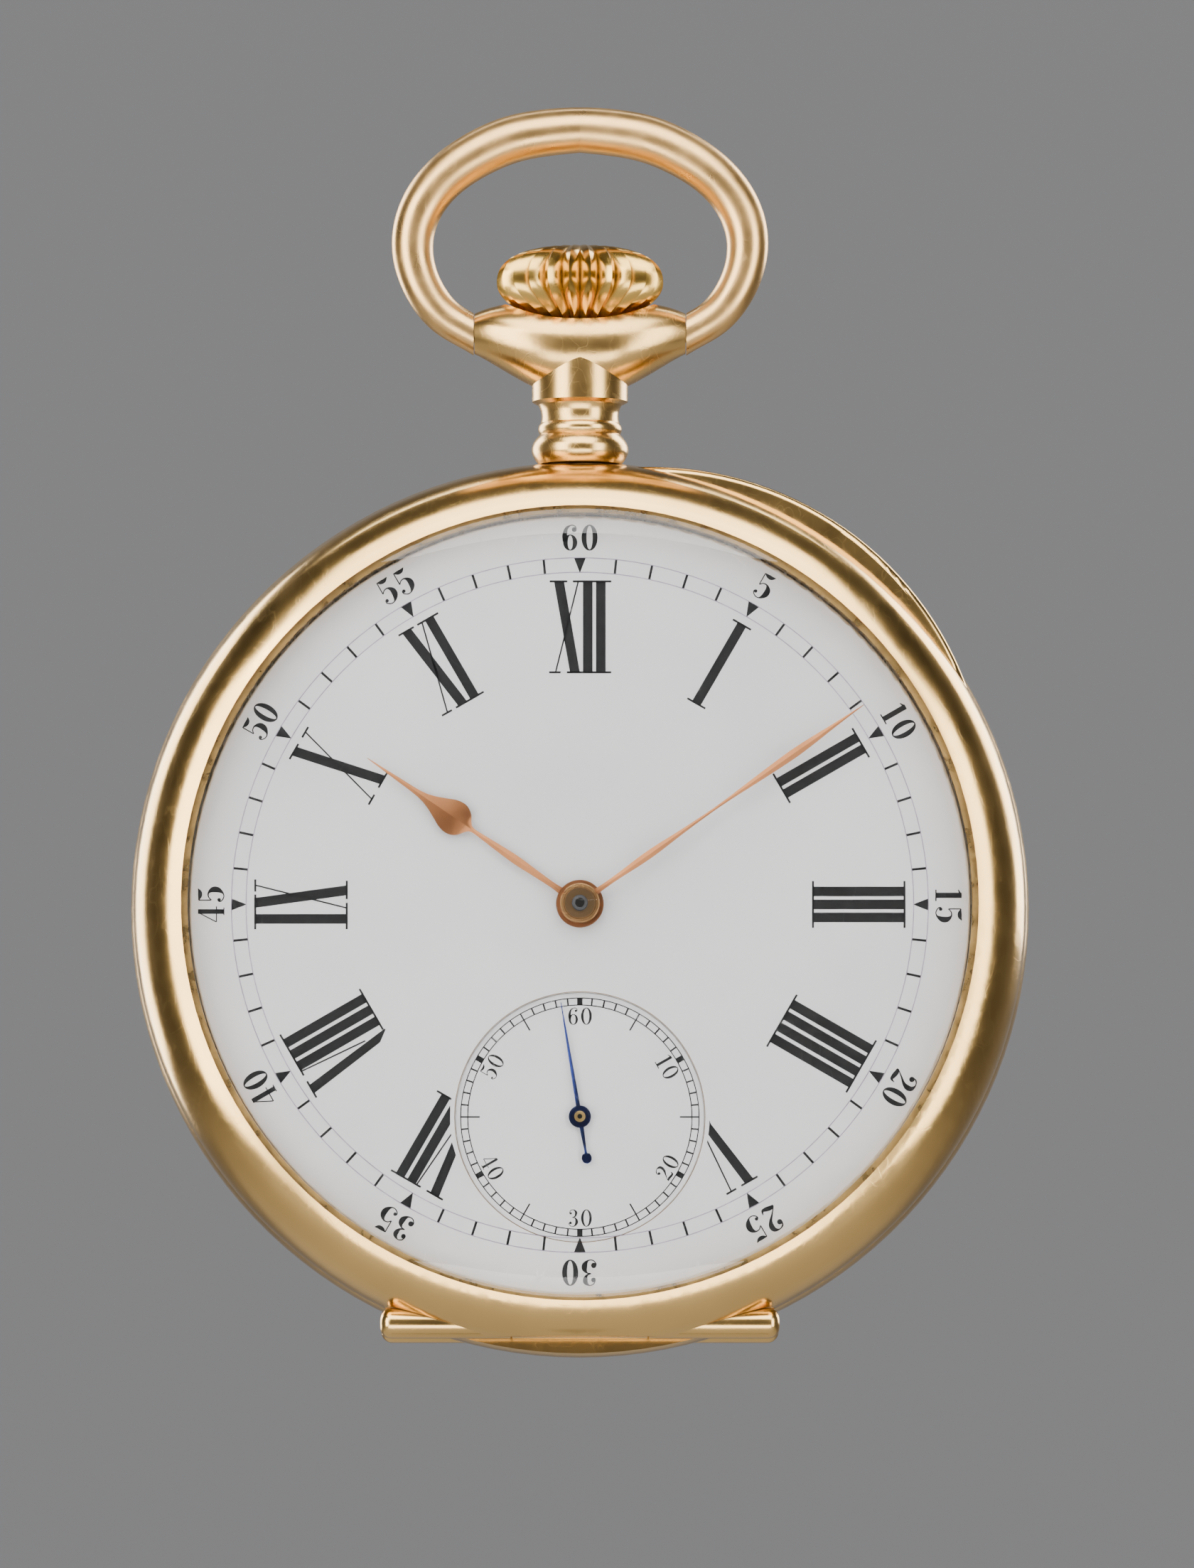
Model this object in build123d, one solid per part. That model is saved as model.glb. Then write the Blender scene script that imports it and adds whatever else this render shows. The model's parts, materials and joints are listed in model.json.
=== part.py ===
"""Open face pocket watch: hinged gold case, bow, crown, enamel dial, hands and a lever movement.

The watch is drawn on its back, x towards 3 o'clock, y towards 12 o'clock and z out of the dial,
with z = 0 in the plane of the winding stem, and is stood up, hanging from its bow, at export.
"""
import os
from math import atan2, cos, degrees, pi, radians, sin, sqrt

from build123d import *

os.makedirs("parts", exist_ok=True)

# ---- driving dimensions, millimetres ----
CASE_R = 28.0            # widest radius of the case, on the band
COVER_R = 27.8           # bezel and back cover at their edge
BAND_H = 1.3             # half height of the visible band
SHOULDER_R = 26.6        # band shoulder that the covers snap over
SHOULDER_H = 3.0
BORE_R = 24.45           # bore that holds the movement
FIT = 0.05               # clearance between covers and band
CRYSTAL_R = 24.75        # visible edge of the crystal
FLANGE_R = 24.32         # gold flange seen under the crystal
COVER_H = 5.75           # height of the bezel and back cover shoulders
BACK_H = 6.6             # flat of the back cover
BACK_FLAT_R = 10.5

HINGE_Y = -26.0          # case hinges at 6 o'clock
HINGE_Z = 2.6
KNUCKLE_R = 0.95
HINGE_HALF = 12.4        # half length of the hinge bars
LEAF_HALF = 4.2          # half length of a cover's knuckle
CHORD_Y = -26.86         # straight edge of the covers at the hinge
TRIM_Y = -25.0           # below this the covers' skirts stop at the hinge's height
PIN_R = 0.33

BOW_PIVOT_Y = 36.1
BOW_SEAT_X = 6.6         # flat end faces of the bow housing
BOW_TOP_Y = 48.95        # wire centre at the top of the bow
BOW_WIDE_Y = 42.0
BOW_HALF_W = 10.48
WIRE_TOP_R = 1.42
WIRE_SHOULDER_R = 1.47
WIRE_SIDE_R = 1.3
WIRE_END_R = 1.15
CROWN_R = 5.25
CROWN_RIBS = 24

DIAL_R = 24.2
DIAL_TOP = 3.4
DIAL_T = 0.8
SECONDS_Y = -13.2        # centre of the seconds dial
SECONDS_R = 7.7
SUNK = 0.25

PLATE_R = 23.9
PLATE_TOP = 2.5
PLATE_BOT = 0.9
BRIDGE_TOP = -1.0
BRIDGE_BOT = -2.2
BRIDGE_R = 23.6
FOOT_R = 21.0            # inner radius of the bridges' feet

BARREL_TEETH, CENTRE_LEAVES, M_BARREL = 96, 12, 0.20
CENTRE_TEETH, THIRD_LEAVES, M_CENTRE = 80, 10, 0.19
THIRD_TEETH, FOURTH_LEAVES, M_THIRD = 75, 10, 0.165
FOURTH_TEETH, ESCAPE_LEAVES, M_FOURTH = 80, 8, 0.125
ESCAPE_TEETH, ESCAPE_R = 15, 3.1
WIND_LEAVES, CROWN_TEETH, RATCHET_TEETH, M_WIND = 16, 44, 57, 0.25
CANNON_LEAVES, MINUTE_TEETH, M_MOTION = 12, 36, 0.20
MINUTE_LEAVES, HOUR_TEETH, M_HOUR = 10, 40, 0.192

ROW_ORIGIN_Y = BOW_TOP_Y - WIRE_TOP_R


def polar(r, deg, centre=(0.0, 0.0)):
    """Point at radius r and angle deg from a centre."""
    return (centre[0] + r * cos(radians(deg)), centre[1] + r * sin(radians(deg)))


def heading(a, b):
    """Angle of the line from a to b, in degrees."""
    return degrees(atan2(b[1] - a[1], b[0] - a[0]))


def disc(r, z0, z1, at=(0.0, 0.0)):
    """Cylinder along z between two heights."""
    low = min(z0, z1)
    tall = abs(z1 - z0)
    return Pos(at[0], at[1], low) * Cylinder(r, tall, align=(Align.CENTER, Align.CENTER, Align.MIN))


def ring(r_out, r_in, z0, z1, at=(0.0, 0.0)):
    """Flat washer along z."""
    return disc(r_out, z0, z1, at) - disc(r_in, z0 - 1, z1 + 1, at)


def block(x0, x1, y0, y1, z0, z1):
    """Box between two corners."""
    size = (abs(x1 - x0), abs(y1 - y0), abs(z1 - z0))
    return Pos((x0 + x1) / 2, (y0 + y1) / 2, (z0 + z1) / 2) * Box(*size)


def rod_x(r, x0, x1, y, z):
    """Cylinder along x."""
    return Pos((x0 + x1) / 2, y, z) * Rot(Y=90) * Cylinder(r, abs(x1 - x0))


def rod_y(r, y0, y1, x=0.0, z=0.0):
    """Cylinder along y."""
    return Pos(x, (y0 + y1) / 2, z) * Rot(X=90) * Cylinder(r, abs(y1 - y0))


def slab(points, z0, z1):
    """Straight-edged plate between two heights."""
    face = make_face(Polyline(*points, close=True))
    return Pos(0, 0, min(z0, z1)) * extrude(face, abs(z1 - z0))


def lathe_z(*curves):
    """Solid turned about z from a closed outline given as (radius, height)."""
    return revolve(Plane.XZ * make_face(Curve() + list(curves)), Axis.Z)


def lathe_y(*curves):
    """Solid turned about y from a closed outline given as (radius, height)."""
    return revolve(make_face(Curve() + list(curves)), Axis.Y)


def line(*points):
    """Open chain of straight edges."""
    return Polyline(*points)


def curve(*points, tangents=None):
    """Smooth edge through points."""
    return Spline(*points, tangents=tangents) if tangents else Spline(*points)


def mirror_z(shape):
    """The same piece on the other side of the band."""
    return mirror(shape, about=Plane.XY)


def gear(teeth, module, z0, z1, at=(0, 0), tooth_at=0.0, bore=0.0, leaf=False):
    """Spur wheel or pinion with rounded tips and radial flanks, one tooth at angle tooth_at."""
    pitch_r = teeth * module / 2
    step = 360 / teeth
    half = step * (0.19 if leaf else 0.2)
    rise = module * (0.75 if leaf else 1.05)
    root = module * (1.3 if leaf else 1.15)
    outline = []
    for k in range(teeth):
        mid = tooth_at + k * step
        outline.append(polar(pitch_r - root, mid - half, at))
        outline.append(polar(pitch_r, mid - half, at))
        outline.append(polar(pitch_r + 0.6 * rise, mid - 0.68 * half, at))
        outline.append(polar(pitch_r + rise, mid - 0.2 * half, at))
        outline.append(polar(pitch_r + rise, mid + 0.2 * half, at))
        outline.append(polar(pitch_r + 0.6 * rise, mid + 0.68 * half, at))
        outline.append(polar(pitch_r, mid + half, at))
        outline.append(polar(pitch_r - root, mid + half, at))
    body = slab(outline, z0, z1)
    if bore:
        body -= disc(bore, z0 - 1, z1 + 1, at)
    return body


def spokes(wheel, at, r_in, r_out, z0, z1, count, width, turn=0.0):
    """Cut a wheel's web away between its hub and rim, leaving straight arms."""
    web = ring(r_out, r_in, z0 - 0.5, z1 + 0.5, at)
    for k in range(count):
        arm = Rot(Z=turn + k * 360 / count) * Pos(r_out / 2, 0, (z0 + z1) / 2) * Box(r_out + 2, width, 3)
        web -= Pos(at[0], at[1], 0) * arm
    return wheel - web


def spiral(r_in, r_out, turns, thick, z0, z1, at, start=0.0):
    """Flat coiled strip."""
    count = int(turns * 30)
    outer = []
    inner = []
    for k in range(count + 1):
        share = k / count
        r = r_in + (r_out - r_in) * share
        angle = start + 360 * turns * share
        outer.append(polar(r + thick / 2, angle, at))
        inner.append(polar(r - thick / 2, angle, at))
    return slab(outer + inner[::-1], z0, z1)


def hull_plate(circles, z0, z1):
    """Plate around several circles given as (x, y, r)."""
    loops = Sketch() + [Pos(x, y) * Circle(r) for x, y, r in circles]
    return Pos(0, 0, min(z0, z1)) * extrude(make_hull(loops.edges()), abs(z1 - z0))


# ---- layout of the movement ----
CENTRE = (0.0, 0.0)
BARREL = polar((BARREL_TEETH + CENTRE_LEAVES) * M_BARREL / 2, 20)
FOURTH = (0.0, SECONDS_Y)
gap_ct = (CENTRE_TEETH + THIRD_LEAVES) * M_CENTRE / 2
gap_tf = (THIRD_TEETH + FOURTH_LEAVES) * M_THIRD / 2
third_y = -(gap_ct ** 2 - gap_tf ** 2 + SECONDS_Y ** 2) / (2 * abs(SECONDS_Y))
THIRD = (-sqrt(gap_ct ** 2 - third_y ** 2), third_y)
ESCAPE = polar((FOURTH_TEETH + ESCAPE_LEAVES) * M_FOURTH / 2, -10, FOURTH)
LINE_DEG = 32.4
PALLET = polar(ESCAPE_R / cos(radians(30)), LINE_DEG, ESCAPE)
BALANCE = polar(8.5, LINE_DEG, ESCAPE)
CROWN_WHEEL_R = CROWN_TEETH * M_WIND / 2
wind_gap = (CROWN_TEETH + RATCHET_TEETH) * M_WIND / 2
CROWN_WHEEL = (0.0, BARREL[1] + sqrt(wind_gap ** 2 - BARREL[0] ** 2))
WIND_Y = CROWN_WHEEL[1] + CROWN_WHEEL_R
MINUTE = polar((CANNON_LEAVES + MINUTE_TEETH) * M_MOTION / 2, 150)
BALANCE_RIM_R = 6.7
BALANCE_CLEAR_R = 7.8

parts = {}

# ================= case =================


def cover_edge(r):
    """Height of the covers' outer curve at a radius."""
    return BAND_H + FIT + (COVER_H - BAND_H - FIT) * sqrt(1 - ((r - 24.0) / (COVER_R - 24.0)) ** 2)


def cover_curve(r_from, r_to, count=7):
    """Outer curve of bezel and back cover between two radii."""
    steps = [r_from + (r_to - r_from) * sin(k / (count - 1) * pi / 2) for k in range(count)]
    if r_from > r_to:
        steps = [r_from - (r_from - r_to) * (1 - cos(k / (count - 1) * pi / 2)) for k in range(count)]
    return curve(*[(r, cover_edge(r)) for r in steps])


swing = block(-12, 12, HINGE_Y - 3, HINGE_Y, BAND_H, 8)
relief = ring(SHOULDER_R + 1, 25.95, BAND_H, 8) & block(-30, 30, -30, -15, 0, 8)
knuckle_room = rod_x(KNUCKLE_R + 0.07, -LEAF_HALF - 0.1, LEAF_HALF + 0.1, HINGE_Y, HINGE_Z)
open_top = block(-LEAF_HALF - 0.1, LEAF_HALF + 0.1, HINGE_Y - 1.65, -24.95, HINGE_Z, SHOULDER_H + 0.2)
hinge_room = swing + relief + knuckle_room + open_top


def hinge_bar():
    """Two rounded end knuckles of a case hinge, bored for the pin."""
    bars = []
    for side in (-1, 1):
        x0 = side * (LEAF_HALF + 0.1)
        x1 = side * HINGE_HALF
        bar = rod_x(KNUCKLE_R, x0, x1, HINGE_Y, HINGE_Z)
        end = bar.edges().sort_by(Axis.X)[0 if side < 0 else -1]
        bar = fillet(end, 0.7)
        bar += block(side * 7.4, side * 11.6, HINGE_Y - 0.5, HINGE_Y + 0.5, BAND_H, HINGE_Z)
        bar -= rod_x(PIN_R + 0.02, side * 4, side * 10.4, HINGE_Y, HINGE_Z)
        bars.append(bar)
    return bars


front_bars = hinge_bar()
back_bars = [mirror_z(bar) for bar in hinge_bar()]

band = lathe_z(
    line((BORE_R, -SHOULDER_H), (SHOULDER_R, -SHOULDER_H), (SHOULDER_R, -BAND_H), (COVER_R, -BAND_H)),
    ThreePointArc((COVER_R, -BAND_H), (CASE_R, 0), (COVER_R, BAND_H)),
    line((COVER_R, BAND_H), (SHOULDER_R, BAND_H), (SHOULDER_R, SHOULDER_H), (24.98, SHOULDER_H),
         (24.98, 2.0), (BORE_R, 2.0), (BORE_R, -SHOULDER_H)),
)
band -= hinge_room
band -= mirror_z(hinge_room)
SCREW_SPOTS = [polar(23.55, a) for a in (118, 238)]
for spot in SCREW_SPOTS:
    band -= disc(1.62, -4, 0.9, spot)
for bar in front_bars + back_bars:
    band -= bar
for level in (-1, 1):
    band -= rod_x(PIN_R + 0.02, -10.4, 10.4, HINGE_Y, level * HINGE_Z)
band -= rod_y(1.3, 20, 30)
band -= rod_y(2.57, 27.84, 30)
parts["case_middle"] = band
parts["hinge_bars"] = Compound(children=front_bars + back_bars)
parts["hinge_pins"] = Compound(children=[rod_x(PIN_R, -10.2, 10.2, HINGE_Y, z) for z in (HINGE_Z, -HINGE_Z)])

bar_room = rod_x(KNUCKLE_R + 0.06, LEAF_HALF + 0.05, 14, HINGE_Y, HINGE_Z)
bar_room += rod_x(KNUCKLE_R + 0.06, -14, -LEAF_HALF - 0.05, HINGE_Y, HINGE_Z)
bar_room += block(-12.5, 12.5, -32, TRIM_Y, 0, HINGE_Z - 0.05)
beyond_chord = block(-20, 20, -32, CHORD_Y, -1, 8)


def leaf(x0, x1, z_top):
    """Knuckle of a cover with the web that joins it to the cover."""
    piece = rod_x(KNUCKLE_R, x0, x1, HINGE_Y, HINGE_Z)
    piece += block(x0, x1, HINGE_Y - 0.6, HINGE_Y + 0.2, HINGE_Z, z_top)
    return piece


bezel = lathe_z(
    line((CRYSTAL_R, cover_edge(CRYSTAL_R)), (CRYSTAL_R, 5.5), (25.0, 5.5), (25.0, 4.98),
         (FLANGE_R, 4.98), (FLANGE_R, SHOULDER_H + 0.1), (SHOULDER_R + FIT, SHOULDER_H + 0.1),
         (SHOULDER_R + FIT, BAND_H + FIT), (COVER_R, BAND_H + FIT)),
    cover_curve(COVER_R, CRYSTAL_R),
)
bezel -= beyond_chord
bezel -= bar_room
bezel += leaf(-LEAF_HALF, LEAF_HALF, 3.6)
bezel -= rod_x(PIN_R + 0.04, -6, 6, HINGE_Y, HINGE_Z)
parts["bezel"] = bezel

LIP_R = 20.9
LIP_REACH = 28.87


def lip(z0, z1, at_deg):
    """Crescent lip for a thumb nail, with rounded edges."""
    centre = polar(LIP_REACH - LIP_R, at_deg)
    body = disc(LIP_R, z0, z1, centre)
    body = fillet(body.edges(), 0.42)
    body &= ring(40, 26.9, z0 - 1, z1 + 1)
    return body


parts["bezel_lip"] = lip(BAND_H + 0.12, BAND_H + 1.3, 90 - 34) - bezel

crystal = lathe_z(
    curve((0, 7.3), (8, 7.16), (16, 6.68), (21.5, 6.05), (24.55, 5.47)),
    line((24.55, 5.47), (24.97, 5.47), (24.97, 5.01), (24.3, 5.01)),
    curve((24.3, 5.01), (21.3, 5.45), (16, 5.98), (8, 6.45), (0, 6.6)),
    line((0, 6.6), (0, 7.3)),
)
parts["crystal"] = crystal

back = lathe_z(
    line((SHOULDER_R + FIT, BAND_H + FIT), (COVER_R, BAND_H + FIT)),
    cover_curve(COVER_R, 24.4),
    curve((24.4, cover_edge(24.4)), (18, 6.35), (BACK_FLAT_R, BACK_H), tangents=[(-1, 0.1), (-1, 0)]),
    line((BACK_FLAT_R, BACK_H), (0, BACK_H), (0, BACK_H - 0.55), (9, BACK_H - 0.6)),
    curve((9, BACK_H - 0.6), (18, 5.7), (23.5, 5.1), (25.6, 4.4), (SHOULDER_R + FIT, 3.3)),
    line((SHOULDER_R + FIT, 3.3), (SHOULDER_R + FIT, BAND_H + FIT)),
)
back -= beyond_chord
back -= bar_room
back -= rod_x(KNUCKLE_R + 0.06, -1.96, 1.96, HINGE_Y, HINGE_Z)
back += leaf(-LEAF_HALF, -1.98, 4.3)
back += leaf(1.98, LEAF_HALF, 4.3)
back -= rod_x(PIN_R + 0.04, -6, 6, HINGE_Y, HINGE_Z)
parts["back_lip"] = mirror_z(lip(BAND_H + 0.12, BAND_H + 1.3, 90 - 34) - back)
parts["back_cover"] = mirror_z(back)

cuvette = lathe_z(
    line((0, 3.12), (24.0, 3.12), (24.0, SHOULDER_H + 0.03), (24.95, SHOULDER_H + 0.03), (24.95, 3.45),
         (0, 3.5), (0, 3.12)),
)
cuvette += block(-1.9, 1.9, -26.4, -24.6, SHOULDER_H + 0.06, 3.45)
cuvette += leaf(-1.9, 1.9, 3.4)
cuvette -= rod_x(PIN_R + 0.04, -6, 6, HINGE_Y, HINGE_Z)
parts["cuvette"] = mirror_z(cuvette)

# ================= pendant, bow and crown =================
CROWN_BOTTOM = 36.85


def crown_outline(grow):
    """Flattened onion outline of the crown, as (radius, height), grown outwards for its seat."""
    side = curve((2.4 + grow, CROWN_BOTTOM - grow), (4.0 + grow, 37.55 - grow), (CROWN_R + grow, 39.15),
                 (4.55 + grow, 40.75 + grow), (2.6 + grow, 41.4 + grow))
    caps = line((2.6 + grow, 41.4 + grow), (0, 41.4 + grow), (0, CROWN_BOTTOM - grow),
                (2.4 + grow, CROWN_BOTTOM - grow))
    return lathe_y(side, caps)


pendant = lathe_y(
    line((1.3, 34.4), (1.3, 27.86), (2.55, 27.86)),
    curve((2.55, 27.86), (3.02, 28.7), (2.5, 29.75)),
    curve((2.5, 29.75), (2.62, 30.1), (2.46, 30.45)),
    curve((2.46, 30.45), (2.42, 31.1), (2.62, 31.6)),
    line((2.62, 31.6), (2.99, 31.8), (2.99, 34.4), (1.3, 34.4)),
)
parts["pendant"] = pendant

sections = []
for x, y, ry, rz in ((0, 35.25, 3.0, 3.15), (2.6, 35.4, 2.75, 2.95), (4.7, 35.85, 2.1, 2.3),
                     (BOW_SEAT_X, BOW_PIVOT_Y, 1.27, 1.27)):
    sections.append(Pos(x, y, 0) * Rot(Y=90) * Ellipse(rz, ry))
half_housing = loft(Sketch() + sections)
housing = half_housing + mirror(half_housing, about=Plane.YZ)
housing -= crown_outline(0.12)
housing -= pendant
housing -= rod_y(1.3, 30, 40)
housing -= rod_x(0.62, 4.4, 7, BOW_PIVOT_Y, 0)
housing -= rod_x(0.62, -7, -4.4, BOW_PIVOT_Y, 0)
housing &= Pos(0, 36, 0) * Box(14, 7.0, 12)
parts["bow_housing"] = housing

wire_path = Spline((5.75, 35.53), (6.6, 36.05), (8.4, 37.15), (9.6, 38.6), (BOW_HALF_W, BOW_WIDE_Y), (9.85, 44.2),
                   (8.5, 45.95), (5.75, 47.77), (3.1, 48.63), (0, BOW_TOP_Y),
                   tangents=[(0.85, 0.52), (-1, 0)], tangent_scalars=[0.7, 0.3])
wire = []
for share, radius in ((0, WIRE_END_R), (0.385, WIRE_SIDE_R), (0.7, WIRE_SHOULDER_R), (1, WIRE_TOP_R)):
    wire.append(Plane(wire_path @ share, z_dir=wire_path % share) * Circle(radius))
half_bow = sweep(Sketch() + wire, path=wire_path, multisection=True)
half_bow -= block(0, BOW_SEAT_X + 0.05, 30, 40, -5, 5)
half_bow -= rod_x(0.57, 4, 7.62, BOW_PIVOT_Y, 0)
parts["bow"] = half_bow + mirror(half_bow, about=Plane.YZ)
bow_screws = []
for side in (-1, 1):
    bow_screws.append(rod_x(0.55, side * 4.7, side * 7.6, BOW_PIVOT_Y, 0))
parts["bow_pins"] = Compound(children=bow_screws)

crown = crown_outline(0)
for k in range(CROWN_RIBS):
    turn = 360 / CROWN_RIBS * k
    flute = Pos(CROWN_R + 0.09, 39.15, 0) * Rot(Y=45) * Box(0.6, 6, 0.6)
    crown -= Rot(Y=turn) * flute
crown -= lathe_y(line((0, 36), (1.7, 36), (1.7, 37.6), (0, 37.6), (0, 36)))
crown += rod_y(1.05, 33.0, 38.0)
SQUARE = 1.1
crown += block(-SQUARE / 2, SQUARE / 2, 19.4, 33.5, -SQUARE / 2, SQUARE / 2)
parts["crown"] = crown

# ================= dial =================
dial = disc(DIAL_R, DIAL_TOP - DIAL_T, DIAL_TOP)
dial = fillet(dial.edges().sort_by(Axis.Z)[-1], 0.18)
dial -= disc(1.45, 0, 5)
dial -= disc(SECONDS_R + 0.02, 0, 5, FOURTH)
parts["seconds_dial"] = disc(SECONDS_R, DIAL_TOP - DIAL_T, DIAL_TOP - SUNK, FOURTH) - disc(0.5, 0, 5, FOURTH)
FEET = [polar(20.6, a) for a in (60, 180, 290)]
for foot in FEET:
    dial += disc(0.5, 1.2, DIAL_TOP - DIAL_T + 0.1, foot)
parts["dial"] = dial

# ================= movement plates =================
plate = disc(PLATE_R, PLATE_BOT, PLATE_TOP) + disc(24.9, 2.03, PLATE_TOP)
plate += block(-2.7, 2.7, 18.3, 22.4, BRIDGE_TOP + 0.05, PLATE_BOT + 0.1)
plate -= disc(6.1, 1.5, 3)
plate -= disc(MINUTE_TEETH * M_MOTION / 2 + 0.5, 1.5, 3, MINUTE)
plate -= block(-2.4, 2.4, 10.8, 18.35, 0, 2.28)
plate -= rod_y(1.03, 10, 26)
plate -= block(-3.9, 3.9, 12.0, 21.5, 2.28, 3) & disc(9, 2, 3, (0, 15))
for spot, hole in ((CENTRE, 0.62), (THIRD, 0.12), (FOURTH, 0.24), (ESCAPE, 0.12), (PALLET, 0.12),
                   (BALANCE, 0.14), (BARREL, 0.82)):
    plate -= disc(hole, 0, 3, spot)
for foot in FEET:
    plate -= disc(0.52, 1.0, 3, foot)
for spot in SCREW_SPOTS:
    plate -= disc(0.5, 0, 2.3, spot)
parts["main_plate"] = plate

split = [(-8.6, 26), (-7.1, 6.4), (-1.7, 4.3), (4.1, -2.1), (5.9, -4.6)]
upper = slab([(26, 26)] + split + [(7, -26), (26, -26)], BRIDGE_BOT, PLATE_BOT)
lower = slab([(-26, 26)] + [(x - 0.22, y - 0.16) for x, y in split]
             + [(4.7, -9.6), (7.3, -16.4), (7.6, -26), (-26, -26)], BRIDGE_BOT, PLATE_BOT)
bridge_sheet = disc(BRIDGE_R, BRIDGE_BOT, BRIDGE_TOP)
feet_ring = ring(BRIDGE_R, FOOT_R, BRIDGE_TOP, PLATE_BOT)
balance_room = disc(BALANCE_CLEAR_R, -4, 0.95, BALANCE)
stem_room = block(-2.75, 2.75, 18.2, 26, -1.01, 2) + block(-2.45, 2.45, 10, 18.3, -2.3, 2)

screw_room = disc(1.62, -4, 0.9, SCREW_SPOTS[0]) + disc(1.62, -4, 0.9, SCREW_SPOTS[1])

barrel_bridge = (bridge_sheet + feet_ring) & upper
barrel_bridge -= screw_room
barrel_bridge -= balance_room
barrel_bridge -= stem_room
barrel_bridge -= ring(6.15, 4.85, -3, -1.68, CROWN_WHEEL)
barrel_bridge -= disc(0.82, -4, 0, BARREL)
barrel_bridge &= disc(40, -4, 4) - block(-30, 30, -30, -4.6, -4, 4)
parts["barrel_bridge"] = barrel_bridge

PIVOT_R = 0.12
train_bridge = (bridge_sheet + feet_ring) & lower
train_bridge -= balance_room
train_bridge -= screw_room
train_bridge -= stem_room
for spot in (THIRD, FOURTH, ESCAPE):
    train_bridge -= disc(0.75, -4, 0, spot)
train_bridge -= disc(0.9, -4, 0, CENTRE)
parts["train_bridge"] = train_bridge

COCK_FOOT = (10.9, -19.4)
COCK_TOP = -2.05
COCK_BOT = -2.92
cock = hull_plate([(BALANCE[0], BALANCE[1], 2.5), (COCK_FOOT[0], COCK_FOOT[1], 3.0)], COCK_BOT, COCK_TOP)
foot_zone = disc(2.6, COCK_BOT, PLATE_BOT, COCK_FOOT) - disc(BALANCE_CLEAR_R, -2.05, 1, BALANCE)
cock += foot_zone
cock &= disc(BRIDGE_R, -4, 4)
cock -= lower
cock -= disc(0.75, -4, 0, BALANCE)
parts["balance_cock"] = cock

PALLET_FEET = [polar(3.6, LINE_DEG + side * 90, PALLET) for side in (1, -1)]
pallet_cock = hull_plate([(x, y, 0.85) for x, y in PALLET_FEET], -0.95, -0.4)
for foot in PALLET_FEET:
    pallet_cock += disc(0.6, -0.5, PLATE_BOT, foot)
pallet_cock -= disc(0.3, -2, 0, PALLET)
parts["pallet_cock"] = pallet_cock

# ================= jewels and screws =================
jewels = []
for spot, outer, z0, z1 in ((THIRD, 0.74, BRIDGE_BOT, BRIDGE_BOT + 0.4), (FOURTH, 0.74, BRIDGE_BOT, BRIDGE_BOT + 0.4),
                            (ESCAPE, 0.74, BRIDGE_BOT, BRIDGE_BOT + 0.4), (CENTRE, 0.89, BRIDGE_BOT, BRIDGE_BOT + 0.5),
                            (BALANCE, 0.74, COCK_BOT, COCK_BOT + 0.4), (PALLET, 0.29, -0.95, -0.65)):
    hole = 0.32 if spot == CENTRE else PIVOT_R
    jewels.append(ring(outer, hole, z0, z1, spot))
parts["jewels"] = Compound(children=jewels)

BRIDGE_SCREWS = [polar(22.3, a) for a in (12, 60, 150, 205, 258)]
screw_list = []


def screw(at, head_r, z_head, head_t, shank_r, z_end, slot_deg=30.0):
    """Slotted screw seen from the back, head towards -z."""
    body = disc(head_r, z_head - head_t, z_head, at) + disc(shank_r, z_head, z_end, at)
    slot = Pos(at[0], at[1], z_head - head_t) * Rot(Z=slot_deg) * Box(3 * head_r, 0.22, 0.3)
    return body - slot


for k, spot in enumerate(BRIDGE_SCREWS):
    screw_list.append(screw(spot, 0.95, BRIDGE_BOT, 0.42, 0.45, 1.6, 25 + 50 * k))
screw_list.append(screw(COCK_FOOT, 1.0, -2.5, 0.4, 0.45, 1.6, 70))
for foot in PALLET_FEET:
    screw_list.append(screw(foot, 0.42, -0.9, 0.18, 0.25, 1.4, 10))
for node in ("barrel_bridge", "train_bridge", "main_plate"):
    for spot in BRIDGE_SCREWS:
        parts[node] -= disc(0.46, -3, 1.62, spot)
parts["balance_cock"] -= disc(0.46, -3, 2, COCK_FOOT) + disc(1.04, -4, -2.5, COCK_FOOT)
parts["main_plate"] -= disc(0.46, 0, 1.62, COCK_FOOT)
for foot in PALLET_FEET:
    parts["pallet_cock"] -= disc(0.27, -2, 2, foot) + disc(0.45, -2, -0.9, foot)
    parts["main_plate"] -= disc(0.27, 0, 1.42, foot)
parts["case_screws"] = Compound(children=[screw(s, 1.5, 0.86, 0.5, 0.45, 2.0, 40) for s in SCREW_SPOTS])

# ================= going train =================


def arbor(at, r, z0, z1, pivot_r, z_low, z_high):
    """Steel arbor with a thinner pivot at each end."""
    return disc(r, z0, z1, at) + disc(pivot_r, z_low, z0, at) + disc(pivot_r, z1, z_high, at)


LOW_Z = (0.2, 0.5)
HIGH_Z = (-0.8, -0.5)
to_third = heading(CENTRE, THIRD)
to_fourth = heading(THIRD, FOURTH)
to_escape = heading(FOURTH, ESCAPE)
to_centre = heading(BARREL, CENTRE)

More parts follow.
